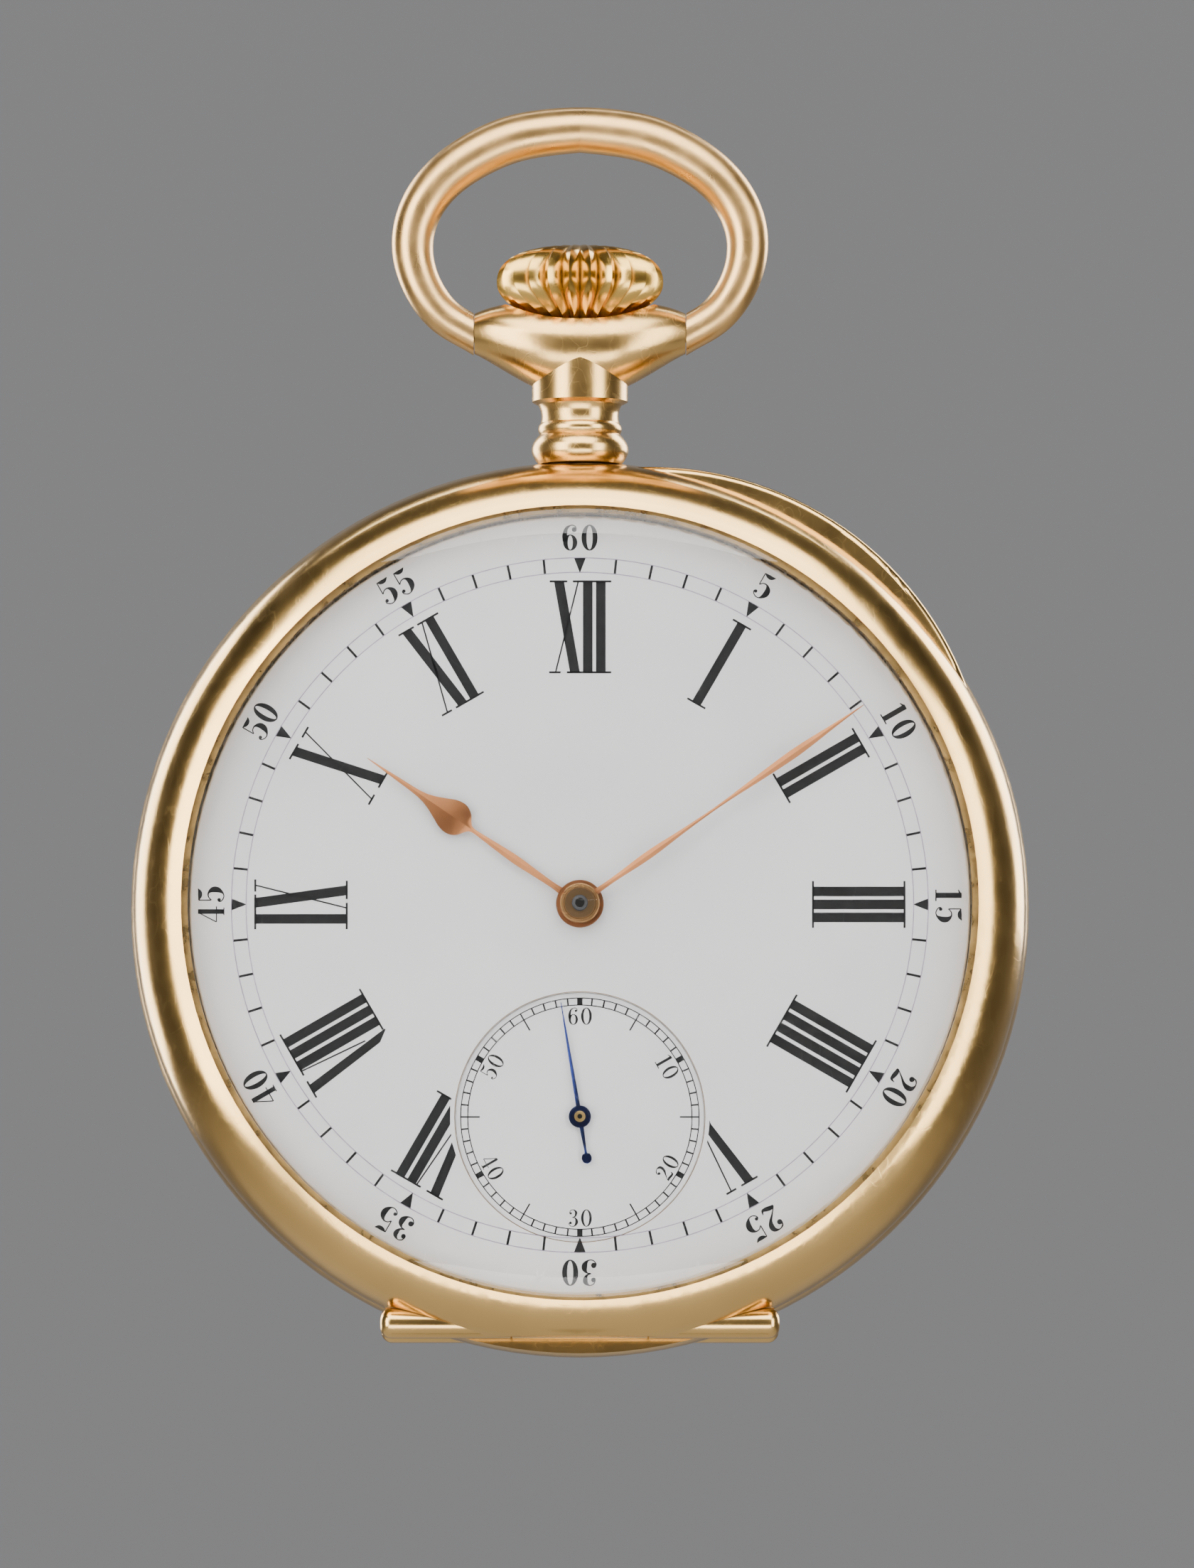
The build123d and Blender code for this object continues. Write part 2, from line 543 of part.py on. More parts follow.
drum = gear(BARREL_TEETH, M_BARREL, 0.42, 0.78, BARREL, to_centre)
drum += disc(8.9, -0.12, 0.5, BARREL)
drum -= disc(8.55, -1, 0.5, BARREL)
drum -= disc(1.08, -1, 2, BARREL)
parts["barrel_drum"] = drum
parts["barrel_lid"] = ring(8.9, 1.08, -0.36, -0.14, BARREL)
parts["mainspring"] = spiral(1.75, 8.35, 8, 0.14, -0.08, 0.44, BARREL)
barrel_arbor = disc(1.5, -0.08, 0.4, BARREL) + disc(1.0, -0.95, 0.86, BARREL) + disc(0.78, -2.26, 2.2, BARREL)
barrel_arbor += block(BARREL[0] - 0.5, BARREL[0] + 0.5, BARREL[1] - 0.5, BARREL[1] + 0.5, -2.7, -2.2)
barrel_arbor += screw(BARREL, 1.5, -2.7, 0.28, 0.45, -2.6, 75)
parts["barrel_arbor"] = barrel_arbor

third_dir_back = heading(THIRD, CENTRE)
wheel = gear(CENTRE_TEETH, M_CENTRE, *HIGH_Z, CENTRE, to_third, bore=0.6)
parts["centre_wheel"] = spokes(wheel, CENTRE, 1.9, 6.7, *HIGH_Z, 5, 0.8, 10)
pinion = gear(CENTRE_LEAVES, M_BARREL, 0.3, 0.84, CENTRE, heading(CENTRE, BARREL) + 15, leaf=True)
pinion += disc(0.6, -0.95, 0.86, CENTRE) + disc(0.3, BRIDGE_BOT + 0.05, -0.95, CENTRE)
pinion += disc(0.46, 0.8, 4.95, CENTRE)
parts["centre_pinion"] = pinion

wheel = gear(THIRD_TEETH, M_THIRD, *LOW_Z, THIRD, to_fourth, bore=0.4)
parts["third_wheel"] = spokes(wheel, THIRD, 1.5, 5.4, *LOW_Z, 5, 0.7, 20)
pinion = gear(THIRD_LEAVES, M_CENTRE, -0.9, -0.35, THIRD, third_dir_back + 18, leaf=True)
pinion += arbor(THIRD, 0.4, -0.95, 0.86, 0.1, BRIDGE_BOT + 0.05, 1.6)
parts["third_pinion"] = pinion

wheel = gear(FOURTH_TEETH, M_FOURTH, *HIGH_Z, FOURTH, to_escape, bore=0.36)
parts["fourth_wheel"] = spokes(wheel, FOURTH, 1.3, 4.3, *HIGH_Z, 5, 0.6, 5)
pinion = gear(FOURTH_LEAVES, M_THIRD, 0.12, 0.7, FOURTH, heading(FOURTH, THIRD) + 18, leaf=True)
pinion += arbor(FOURTH, 0.36, -0.95, 0.86, 0.1, BRIDGE_BOT + 0.05, 0.9) + disc(0.2, 0.86, 3.62, FOURTH)
parts["fourth_pinion"] = pinion

# ---- escapement: club teeth, stones 60 degrees apart on the tip circle ----
TOOTH = 3.5
STONE = 7.0
REST_GAP = 6.0


def escape_wheel():
    """Fifteen club teeth, lying either side of the stones at rest."""
    step = 360 / ESCAPE_TEETH
    first = LINE_DEG + 30 + REST_GAP
    outline = []
    for k in range(ESCAPE_TEETH):
        mid = first + k * step
        outline.append(polar(ESCAPE_R - 0.85, mid - 6.2, ESCAPE))
        outline.append(polar(ESCAPE_R - 0.3, mid - 2.8, ESCAPE))
        outline.append(polar(ESCAPE_R - 0.1, mid - TOOTH / 2, ESCAPE))
        outline.append(polar(ESCAPE_R, mid + TOOTH / 2, ESCAPE))
        outline.append(polar(ESCAPE_R - 0.35, mid + 0.2, ESCAPE))
        outline.append(polar(ESCAPE_R - 0.85, mid - 1.8, ESCAPE))
    return slab(outline, *LOW_Z) - disc(0.3, 0, 1, ESCAPE)


parts["escape_wheel"] = spokes(escape_wheel(), ESCAPE, 0.9, 1.85, *LOW_Z, 4, 0.5, 12)
pinion = gear(ESCAPE_LEAVES, M_FOURTH, -0.9, -0.4, ESCAPE, heading(ESCAPE, FOURTH) + 22.5, leaf=True)
pinion += arbor(ESCAPE, 0.3, -0.95, 0.86, 0.1, BRIDGE_BOT + 0.05, 1.6)
parts["escape_pinion"] = pinion

stone_list = []
for side in (-1, 1):
    tip = polar(ESCAPE_R + 0.04, LINE_DEG + side * 30, ESCAPE)
    width = 2 * ESCAPE_R * sin(radians(STONE / 2))
    stone_list.append(Pos(tip[0], tip[1], 0.35) * Rot(Z=LINE_DEG + side * 30) * Pos(0.4, 0, 0)
                      * Box(0.8, width, 0.26))
parts["pallet_stones"] = Compound(children=stone_list)
arm_ends = [polar(ESCAPE_R + 0.75, LINE_DEG + side * 30, ESCAPE) for side in (-1, 1)]
FORK_Z = (0.24, 0.46)
fork = hull_plate([(PALLET[0], PALLET[1], 0.5), (arm_ends[0][0], arm_ends[0][1], 0.5)], *FORK_Z)
fork += hull_plate([(PALLET[0], PALLET[1], 0.5), (arm_ends[1][0], arm_ends[1][1], 0.5)], *FORK_Z)
slot_at = polar(8.5 - 3.58 - 0.9, LINE_DEG, PALLET)
fork += hull_plate([(PALLET[0], PALLET[1], 0.4), (slot_at[0], slot_at[1], 0.22)], *FORK_Z)
fork_head = polar(8.5 - 3.58 - 0.85, LINE_DEG, PALLET)
fork += Pos(fork_head[0], fork_head[1], 0.35) * Rot(Z=LINE_DEG) * Box(0.6, 1.0, 0.22)
fork -= Pos(fork_head[0], fork_head[1], 0.35) * Rot(Z=LINE_DEG) * Pos(0.2, 0, 0) * Box(0.3, 0.34, 1)
for stone in stone_list:
    fork -= stone
fork += arbor(PALLET, 0.22, -0.3, 0.86, 0.1, -0.9, 1.6)
parts["pallet_fork"] = fork

# ---- balance ----
BAL_Z = (-1.6, -1.15)
rim = ring(BALANCE_RIM_R, BALANCE_RIM_R - 0.55, *BAL_Z, BALANCE)
rim += Pos(BALANCE[0], BALANCE[1], -1.38) * Rot(Z=20) * Box(2 * BALANCE_RIM_R - 0.4, 0.7, 0.26)
rim += disc(0.9, -1.55, -1.2, BALANCE)
rim -= disc(0.32, -3, 0, BALANCE)
bal_screws = []
for k in range(14):
    angle = 20 + (k + 0.5) * 360 / 14
    place = Pos(BALANCE[0], BALANCE[1], -1.375) * Rot(Z=angle)
    rim -= place * Pos(BALANCE_RIM_R - 0.2, 0, 0) * Rot(Y=90) * Cylinder(0.12, 1.2)
    bal_screws.append(place * Pos(BALANCE_RIM_R - 0.2, 0, 0) * Rot(Y=90) * Cylinder(0.11, 0.5)
                      + place * Pos(BALANCE_RIM_R + 0.23, 0, 0) * Rot(Y=90) * Cylinder(0.25, 0.4))
parts["balance_wheel"] = rim
parts["balance_screws"] = Compound(children=bal_screws)
parts["balance_staff"] = arbor(BALANCE, 0.31, -2.0, 0.3, 0.1, COCK_BOT + 0.05, 1.6) + disc(0.55, -1.95, -1.62, BALANCE)
pin_spot = polar(0.9, LINE_DEG + 180, BALANCE)
roller = disc(1.25, -0.12, 0.08, BALANCE) + disc(0.13, -0.1, 0.2, pin_spot)
roller -= disc(0.31, -1, 1, BALANCE)
parts["roller"] = roller
parts["hairspring"] = spiral(0.72, 3.3, 9, 0.06, -1.92, -1.72, BALANCE, 40)
STUD_DEG = 40
parts["hairspring_stud"] = (hull_plate([(BALANCE[0], BALANCE[1], 1.6), polar(3.9, STUD_DEG, BALANCE) + (0.6,)],
                                       COCK_TOP - 0.02, COCK_TOP + 0.06)
                            - disc(0.76, -4, 0, BALANCE)) & block(-30, 30, -30, 30, COCK_TOP + 0.005, 0)
regulator = hull_plate([(BALANCE[0], BALANCE[1], 1.5), polar(6.2, -150, BALANCE) + (0.12,)], -3.02, COCK_BOT)
regulator -= disc(0.76, -4, 0, BALANCE)
parts["regulator"] = regulator

# ================= winding and setting =================
stem = rod_y(1.0, 11.2, 23.9)
stem -= block(-SQUARE / 2 - 0.03, SQUARE / 2 + 0.03, 18.9, 26, -SQUARE / 2 - 0.03, SQUARE / 2 + 0.03)
parts["winding_stem"] = stem


def gear_y(teeth, module, y0, y1, tooth_at, bore):
    """Pinion on the stem, turning about y."""
    flat = gear(teeth, module, 0, abs(y1 - y0), (0, 0), tooth_at, bore, leaf=True)
    return Pos(0, y1, 0) * Rot(X=90) * flat


parts["winding_pinion"] = gear_y(WIND_LEAVES, M_WIND, WIND_Y - 0.75, WIND_Y + 0.75, 90, 1.03)
parts["sliding_pinion"] = gear_y(14, 0.22, 11.6, 14.6, 90, 1.0)

crown_wheel = gear(CROWN_TEETH, M_WIND, -2.66, -2.28, CROWN_WHEEL, heading(CROWN_WHEEL, BARREL))
step = 360 / CROWN_TEETH
for k in range(CROWN_TEETH):
    tooth = Pos(CROWN_WHEEL[0], CROWN_WHEEL[1], 0) * Rot(Z=90 + (k + 0.5) * step)
    crown_wheel += tooth * Pos(CROWN_WHEEL_R - 0.18, 0, -2.06) * Box(0.5, 0.24, 0.48)
crown_wheel -= disc(1.25, -4, 0, CROWN_WHEEL)
parts["crown_wheel"] = crown_wheel
screw_list.append(screw(CROWN_WHEEL, 2.0, -2.7, 0.26, 1.2, BRIDGE_BOT, 35))
parts["movement_screws"] = Compound(children=screw_list)
parts["ratchet_wheel"] = gear(RATCHET_TEETH, M_WIND, -2.66, -2.28, BARREL,
                              heading(BARREL, CROWN_WHEEL) + 180 / RATCHET_TEETH)
parts["ratchet_wheel"] -= block(BARREL[0] - 0.51, BARREL[0] + 0.51, BARREL[1] - 0.51, BARREL[1] + 0.51, -3, -2)
CLICK = polar(RATCHET_TEETH * M_WIND / 2 + 2.0, 60, BARREL)
click = hull_plate([CLICK + (0.9,), polar(RATCHET_TEETH * M_WIND / 2 + 0.75, 72, BARREL) + (0.25,)], -2.6, -2.22)
parts["click"] = click - disc(0.4, -4, 0, CLICK)
parts["click_spring"] = spiral(1.3, 2.6, 0.55, 0.16, -2.55, -2.22, CLICK, -60)

LEVER_Z = (2.3, 2.48)
levers = [hull_plate([(2.6, 18.6, 0.9), (1.4, 16.2, 0.5), (2.9, 14.4, 0.4)], *LEVER_Z),
          hull_plate([(-2.9, 18.6, 0.7), (-2.6, 13.4, 0.45)], *LEVER_Z)]
parts["setting_levers"] = Compound(children=levers)

# ================= motion work and hands =================
MOTION_Z = (1.6, 1.95)
HOUR_Z = (2.05, 2.4)
to_minute = heading(CENTRE, MINUTE)
cannon = gear(CANNON_LEAVES, M_MOTION, 1.56, 2.0, CENTRE, to_minute + 15, leaf=True)
cannon += disc(0.8, 1.56, 4.72, CENTRE)
cannon -= disc(0.48, 0, 6, CENTRE)
parts["cannon_pinion"] = cannon
minute_wheel = gear(MINUTE_TEETH, M_MOTION, *MOTION_Z, MINUTE, to_minute + 180)
minute_wheel += gear(MINUTE_LEAVES, M_HOUR, 1.9, 2.45, MINUTE, to_minute + 180 + 18, leaf=True)
minute_wheel -= disc(0.42, 0, 3, MINUTE)
parts["minute_wheel"] = minute_wheel
parts["main_plate"] += disc(0.38, 1.45, 2.4, MINUTE)
hour_wheel = gear(HOUR_TEETH, M_HOUR, *HOUR_Z, CENTRE, to_minute)
hour_wheel += disc(1.2, 2.05, 3.98, CENTRE)
hour_wheel -= disc(0.84, 0, 6, CENTRE)
parts["hour_wheel"] = hour_wheel


def clock(x, y, deg):
    """Point x to the right and y along a hand that shows deg clockwise from 12."""
    a = radians(-deg)
    return (x * cos(a) - y * sin(a), x * sin(a) + y * cos(a))


def hand(stations, deg, z_edge, z_ridge, bore, boss_r, boss_z, at=(0.0, 0.0)):
    """Flat hand from (distance, half width) stations, on a round boss."""
    right = [clock(w, d, deg) for d, w in stations]
    left = [clock(-w, d, deg) for d, w in reversed(stations)]
    body = slab([(x + at[0], y + at[1]) for x, y in right + left], z_edge, z_ridge)
    body += disc(boss_r, *boss_z, at)
    body -= disc(bore, boss_z[0] - 1, boss_z[1] + 1, at)
    return body


MINUTE_SHAPE = [(0.3, 0.32), (1.6, 0.2), (3.2, 0.2), (5.0, 0.25), (7.0, 0.2), (9.5, 0.1), (11.5, 0.12),
                (14.5, 0.26), (16.5, 0.28), (18.5, 0.18), (20.5, 0.06), (21.5, 0.02)]
HOUR_SHAPE = [(0.3, 0.34), (1.9, 0.22), (4.0, 0.3), (6.2, 0.24), (7.6, 0.16), (8.35, 0.2), (8.6, 0.62),
              (9.0, 0.96), (9.5, 1.08), (10.1, 0.96), (10.7, 0.66), (11.4, 0.36), (12.4, 0.2), (14.2, 0.1),
              (16.0, 0.02)]
SECONDS_SHAPE = [(-2.9, 0.05), (-2.75, 0.2), (-2.6, 0.29), (-2.35, 0.22), (-2.2, 0.08), (0, 0.13), (4, 0.09),
                 (7.2, 0.02)]
parts["minute_hand"] = hand(MINUTE_SHAPE, 55, 4.5, 4.68, 0.82, 1.23, (4.42, 4.74))
parts["hour_hand"] = hand(HOUR_SHAPE, 304.5, 3.86, 4.04, 1.22, 1.48, (3.8, 4.08))
parts["seconds_hand"] = hand(SECONDS_SHAPE, -9.4, 3.42, 3.52, 0.22, 0.69, (3.3, 3.66), FOURTH)

# ================= stand the watch up and write every piece =================
for name, shape in parts.items():
    upright = Pos(0, 0, -ROW_ORIGIN_Y) * Rot(X=90) * shape
    export_step(upright, f"parts/{name}.step")
print(len(parts), "pieces")
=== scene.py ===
"""Open face pocket watch around its CAD frame: printed dial, hands, crown, materials, light and camera."""

import json
import math

import bmesh
import bpy
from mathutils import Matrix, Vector


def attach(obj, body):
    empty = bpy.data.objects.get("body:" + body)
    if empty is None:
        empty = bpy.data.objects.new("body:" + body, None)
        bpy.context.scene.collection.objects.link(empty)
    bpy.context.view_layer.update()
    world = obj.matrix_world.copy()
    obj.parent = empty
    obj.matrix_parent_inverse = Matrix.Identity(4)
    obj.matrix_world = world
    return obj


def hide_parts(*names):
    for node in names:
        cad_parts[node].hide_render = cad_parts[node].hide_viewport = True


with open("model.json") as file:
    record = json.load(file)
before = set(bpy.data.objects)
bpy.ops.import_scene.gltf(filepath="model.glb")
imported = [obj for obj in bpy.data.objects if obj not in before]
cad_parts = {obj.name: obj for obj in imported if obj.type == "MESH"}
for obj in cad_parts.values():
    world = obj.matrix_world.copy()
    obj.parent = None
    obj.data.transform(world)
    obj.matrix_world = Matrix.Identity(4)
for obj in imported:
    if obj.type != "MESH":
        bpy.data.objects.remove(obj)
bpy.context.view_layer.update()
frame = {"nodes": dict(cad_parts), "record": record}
NODES = frame["nodes"]
MM = 0.001

# ---- where the watch sits in the row frame: bench (x, y, z) is row (x, -z, y - ORIGIN_Y) ----
ORIGIN_Y = 47.53
TOP_Z = 3.4              # enamel surface, mm out from the stem's plane
SUB_TOP = 3.15           # surface of the sunk seconds dial
SUB_Y = -13.2            # centre of the seconds dial, below the centre of the watch
PRINT_T = 0.012          # thickness of the dial print


def row(x, y, z):
    """Bench millimetres to row metres."""
    return Vector((x * MM, -z * MM, (y - ORIGIN_Y) * MM))


# ================= materials =================
NOISE_ROUGHNESS = 0.55
MIX_A, MIX_B, MIX_RESULT = 6, 7, 2   # colour sockets of the Mix node


class Tree:
    """Short hand for building one material's node tree."""

    def __init__(self, name, **sockets):
        self.mat = bpy.data.materials.new(name)
        self.mat.use_nodes = True
        self.nodes = self.mat.node_tree.nodes
        self.links = self.mat.node_tree.links
        self.shader = self.nodes["Principled BSDF"]
        for key, value in sockets.items():
            self.shader.inputs[key.replace("_", " ")].default_value = value
        self.coords = self.nodes.new("ShaderNodeTexCoord").outputs["Object"]

    def node(self, kind, **settings):
        n = self.nodes.new(kind)
        for key, value in settings.items():
            setattr(n, key, value)
        return n

    def scaled(self, scale):
        m = self.node("ShaderNodeMapping")
        m.inputs["Scale"].default_value = scale
        self.links.new(self.coords, m.inputs["Vector"])
        return m.outputs["Vector"]

    def noise(self, scale, detail=4.0, stretch=(1, 1, 1)):
        """Cloudy value from nought to one; stretch scales it along each axis."""
        n = self.node("ShaderNodeTexNoise")
        n.inputs["Scale"].default_value = scale
        n.inputs["Detail"].default_value = detail
        n.inputs["Roughness"].default_value = NOISE_ROUGHNESS
        self.links.new(self.scaled(stretch), n.inputs["Vector"])
        return n.outputs["Fac"]

    def ramp(self, source, stops):
        """Grey value along straight lines between (place, value) stops."""
        r = self.node("ShaderNodeValToRGB")
        while len(r.color_ramp.elements) < len(stops):
            r.color_ramp.elements.new(0.5)
        for element, (place, value) in zip(r.color_ramp.elements, stops):
            element.position = place
            element.color = (value, value, value, 1)
        self.links.new(source, r.inputs["Fac"])
        return r.outputs["Color"]

    def math(self, kind, a, b):
        """Sum or product of two values, each a number or a socket."""
        m = self.node("ShaderNodeMath", operation=kind)
        for k, v in enumerate((a, b)):
            if isinstance(v, (int, float)):
                m.inputs[k].default_value = v
            else:
                self.links.new(v, m.inputs[k])
        return m.outputs["Value"]

    def mix(self, factor, a, b):
        """Blend from a to b, each a colour or a socket."""
        m = self.node("ShaderNodeMix", data_type="RGBA")
        self.links.new(factor, m.inputs["Factor"])
        for socket, v in ((m.inputs[MIX_A], a), (m.inputs[MIX_B], b)):
            if isinstance(v, tuple):
                socket.default_value = v
            else:
                self.links.new(v, socket)
        return m.outputs[MIX_RESULT]

    def bump(self, height, strength, distance, chain=None):
        b = self.node("ShaderNodeBump")
        b.inputs["Strength"].default_value = strength
        b.inputs["Distance"].default_value = distance
        self.links.new(height, b.inputs["Height"])
        if chain is not None:
            self.links.new(chain, b.inputs["Normal"])
        return b.outputs["Normal"]

    def to(self, socket, source):
        self.links.new(source, self.shader.inputs[socket])
        return self

    def scratches(self, turns, scale, width):
        """Thin random lines: bands of a noise far longer than wide, at several angles."""
        total = None
        for k, turn in enumerate(turns):
            m = self.node("ShaderNodeMapping")
            m.inputs["Rotation"].default_value = (turn * 0.7, turn, turn * 1.3)
            m.inputs["Scale"].default_value = (1, 0.02, 0.6)
            self.links.new(self.coords, m.inputs["Vector"])
            n = self.node("ShaderNodeTexNoise")
            n.inputs["Scale"].default_value = scale * (1 + 0.37 * k)
            n.inputs["Detail"].default_value = 2.0
            self.links.new(m.outputs["Vector"], n.inputs["Vector"])
            lo, hi = 0.5 - width, 0.5 + width
            line = self.ramp(n.outputs["Fac"], [(0, 0.0), (lo, 0.0), (0.5, 1.0), (hi, 0.0), (1, 0.0)])
            total = line if total is None else self.math("MAXIMUM", total, line)
        return total

    def crevice(self, distance, low, high):
        """One in corners and grooves, nought in the open: an ambient occlusion mask for painted shade."""
        ao = self.node("ShaderNodeAmbientOcclusion", samples=8)
        ao.inputs["Distance"].default_value = distance
        return self.ramp(ao.outputs["AO"], [(low, 1.0), (high, 0.0)])


def rgb(r, g, b):
    """Linear colour from 0..255 sRGB."""
    def lin(c):
        c /= 255
        return c / 12.92 if c < 0.04045 else ((c + 0.055) / 1.055) ** 2.4
    return (lin(r), lin(g), lin(b), 1.0)


def shade(colour, factor):
    """The colour made lighter or darker."""
    return tuple(min(1.0, c * factor) for c in colour[:3]) + (1.0,)


def gold(name, base, rough, wear, scratch_strength, shade_and_grime_amount):
    """Polished or satin gold with hairline scratches and handling haze, with painted shade in the grooves,
    patchy like grime.
    """
    t = Tree(name, Metallic=1.0, Roughness=rough)
    haze = t.noise(420, 5)
    mottled = t.noise(90, 3)
    colour = t.mix(t.ramp(mottled, [(0.3, 0.0), (0.7, 1.0)]), shade(base, 0.9), shade(base, 1.08))
    patches = t.ramp(t.noise(900, 6), [(0.35, 0.1), (0.6, 1.0)])
    # painted shade: ambient occlusion darkens grooves and corners towards brown, in patches that also read as
    # grime
    shade_and_grime_mask = t.math("MULTIPLY", t.crevice(0.0005, 0.35, 0.8), patches)
    colour = t.mix(t.math("MULTIPLY", shade_and_grime_mask, shade_and_grime_amount), colour, rgb(74, 48, 22))
    t.to("Base Color", colour)
    lines = t.scratches((0.2, 1.1, 2.3), 330, 0.0035)
    rough_map = t.ramp(haze, [(0.25, rough), (0.75, rough + wear)])
    rough_map = t.math("ADD", rough_map, t.math("MULTIPLY", lines, 0.05))
    rough_map = t.math("ADD", rough_map, t.math("MULTIPLY", shade_and_grime_mask, 0.35))
    t.to("Roughness", rough_map)
    ripple = t.bump(t.noise(140, 2), 0.05, 0.0001)
    fine = t.bump(t.math("MULTIPLY", lines, -1.0), scratch_strength, 0.000004, ripple)
    t.to("Normal", fine)
    return t.mat


# the last figure is how strongly the grooves are darkened with painted shade and grime
GOLD = gold("gold_case", rgb(221, 180, 110), 0.15, 0.08, 0.25, 0.3)
SOFT = gold("gold_soft", rgb(220, 177, 106), 0.19, 0.1, 0.25, 0.6)
SATIN = gold("gold_satin", rgb(220, 176, 112), 0.24, 0.14, 0.3, 0.5)
ROSE = gold("rose_hand", rgb(158, 104, 66), 0.3, 0.1, 0.1, 0.3)


def plain_metal(name, base, rough, grain=300, strength=0.1):
    """Worked metal with a fine grain."""
    t = Tree(name, Metallic=1.0, Roughness=rough)
    n = t.noise(grain, 4)
    t.to("Base Color", t.mix(t.ramp(t.noise(200, 3), [(0.3, 0.0), (0.7, 1.0)]), shade(base, 0.82), base))
    t.to("Roughness", t.ramp(n, [(0.3, rough), (0.7, rough + 0.1)]))
    t.to("Normal", t.bump(n, strength, 0.00001))
    return t.mat


STEEL = plain_metal("steel", rgb(196, 196, 200), 0.16)
BLUED = plain_metal("blued_steel", rgb(34, 44, 92), 0.2, strength=0.05)
GILT = plain_metal("gilt_wheel", rgb(222, 186, 118), 0.25, 800, 0.15)


def striped(name, base):
    """Nickelled plate with broad polished stripes."""
    t = Tree(name, Metallic=1.0, Roughness=0.22)
    w = t.node("ShaderNodeTexWave", wave_type="BANDS", bands_direction="X", wave_profile="SAW")
    w.inputs["Scale"].default_value = 95
    t.links.new(t.coords, w.inputs["Vector"])
    fine = t.noise(3000, 3, (1, 1, 0.05))
    t.to("Base Color", t.mix(t.ramp(w.outputs["Fac"], [(0.0, 0.0), (1.0, 1.0)]), shade(base, 0.72), base))
    t.to("Roughness", t.ramp(fine, [(0.3, 0.18), (0.7, 0.34)]))
    t.to("Normal", t.bump(w.outputs["Fac"], 0.2, 0.00004, t.bump(fine, 0.1, 0.00001)))
    return t.mat


NICKEL = striped("nickel_plate", rgb(206, 203, 194))


def enamel_material():
    """Fired white enamel: faint waviness under a glossy surface."""
    t = Tree("enamel", Roughness=0.12, Metallic=0.0, Specular_IOR_Level=0.5, Coat_Weight=0.3,
             Coat_Roughness=0.05)
    cloud = t.noise(60, 4)
    t.to("Base Color", t.mix(t.ramp(cloud, [(0.3, 0.0), (0.7, 1.0)]), rgb(226, 225, 226), rgb(236, 235, 235)))
    speck = t.noise(2500, 2)
    t.to("Roughness", t.ramp(speck, [(0.3, 0.10), (0.8, 0.2)]))
    t.to("Normal", t.bump(cloud, 0.04, 0.0001))
    return t.mat


ENAMEL = enamel_material()


def ink_material(name, colour):
    """Painted ink, slightly uneven."""
    t = Tree(name, Roughness=0.35)
    t.to("Base Color", t.mix(t.ramp(t.noise(1500, 3), [(0.35, 0.0), (0.7, 1.0)]), colour,
                             tuple(min(1, c * 1.5 + 0.004) for c in colour[:3]) + (1.0,)))
    return t.mat


INK = ink_material("dial_ink", rgb(9, 9, 10))
LILAC = ink_material("dial_line", rgb(150, 140, 158))
# painted shade: brown tone for the thin ring where the sunk seconds dial steps down
SUNK_EDGE_SHADE = ink_material("dial_edge_shade", rgb(120, 96, 66))


def glass_material():
    """Clear crystal with the faintest hairlines."""
    t = Tree("crystal", Roughness=0.0, IOR=1.45, Transmission_Weight=1.0)
    lines = t.scratches((0.5, 1.9), 180, 0.003)
    t.to("Roughness", t.ramp(lines, [(0.0, 0.0), (1.0, 0.12)]))
    cloud = t.ramp(t.noise(30, 2), [(0, 0.0), (1, 1.0)])
    t.to("Base Color", t.mix(cloud, (0.99, 0.995, 0.99, 1), (1, 1, 1, 1)))
    return t.mat


GLASS = glass_material()


def ruby_material():
    """Polished ruby."""
    t = Tree("ruby", Roughness=0.06, IOR=1.76)
    cloud = t.ramp(t.noise(900, 2), [(0.3, 0.0), (0.7, 1.0)])
    t.to("Base Color", t.mix(cloud, rgb(140, 16, 44), rgb(190, 30, 70)))
    return t.mat


RUBY = ruby_material()

BY_SLOT = {"gold_case": GOLD, "gold_satin": SATIN, "crystal": GLASS, "enamel": ENAMEL, "rose_hand": ROSE,
           "blued_steel": BLUED, "nickel_plate": NICKEL, "gilt_wheel": GILT, "steel": STEEL, "ruby": RUBY}


def paint(node_name, material):
    """Give a CAD node its material."""
    materials = NODES[node_name].data.materials
    materials.clear()
    materials.append(material)


for part in frame["record"]["subparts"]:
    paint(part["node"], BY_SLOT[part["material_slot"]])
for name in ("bow_housing", "pendant"):
    paint(name, SOFT)


# ================= mesh helpers =================


def new_object(name, verts, faces, material, body, smooth=True):
    """Mesh piece from bench millimetres, riding on a body."""
    mesh = bpy.data.meshes.new(name)
    mesh.from_pydata([row(*v) for v in verts], [], faces)
    bm = bmesh.new()
    bm.from_mesh(mesh)
    bmesh.ops.recalc_face_normals(bm, faces=bm.faces)
    bm.to_mesh(mesh)
    bm.free()
    for p in mesh.polygons:
        p.use_smooth = smooth
    mesh.materials.append(material)
    obj = bpy.data.objects.new(name, mesh)
    bpy.context.collection.objects.link(obj)
    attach(obj, body)
    return obj


def add_print(store, outline, z0, at=(0.0, 0.0)):
    """One closed printed shape as a thin raised solid, outline in bench millimetres."""
    verts, faces = store
    n = len(outline)
    base = len(verts)
    for dz in (0.0, PRINT_T):
        for x, y in outline:
            verts.append((x + at[0], y + at[1], z0 + dz))
    faces.append([base + n + k for k in range(n)])
    faces.append([base + n - 1 - k for k in range(n)])
    for k in range(n):
        j = (k + 1) % n
        faces.append([base + k, base + j, base + n + j, base + n + k])


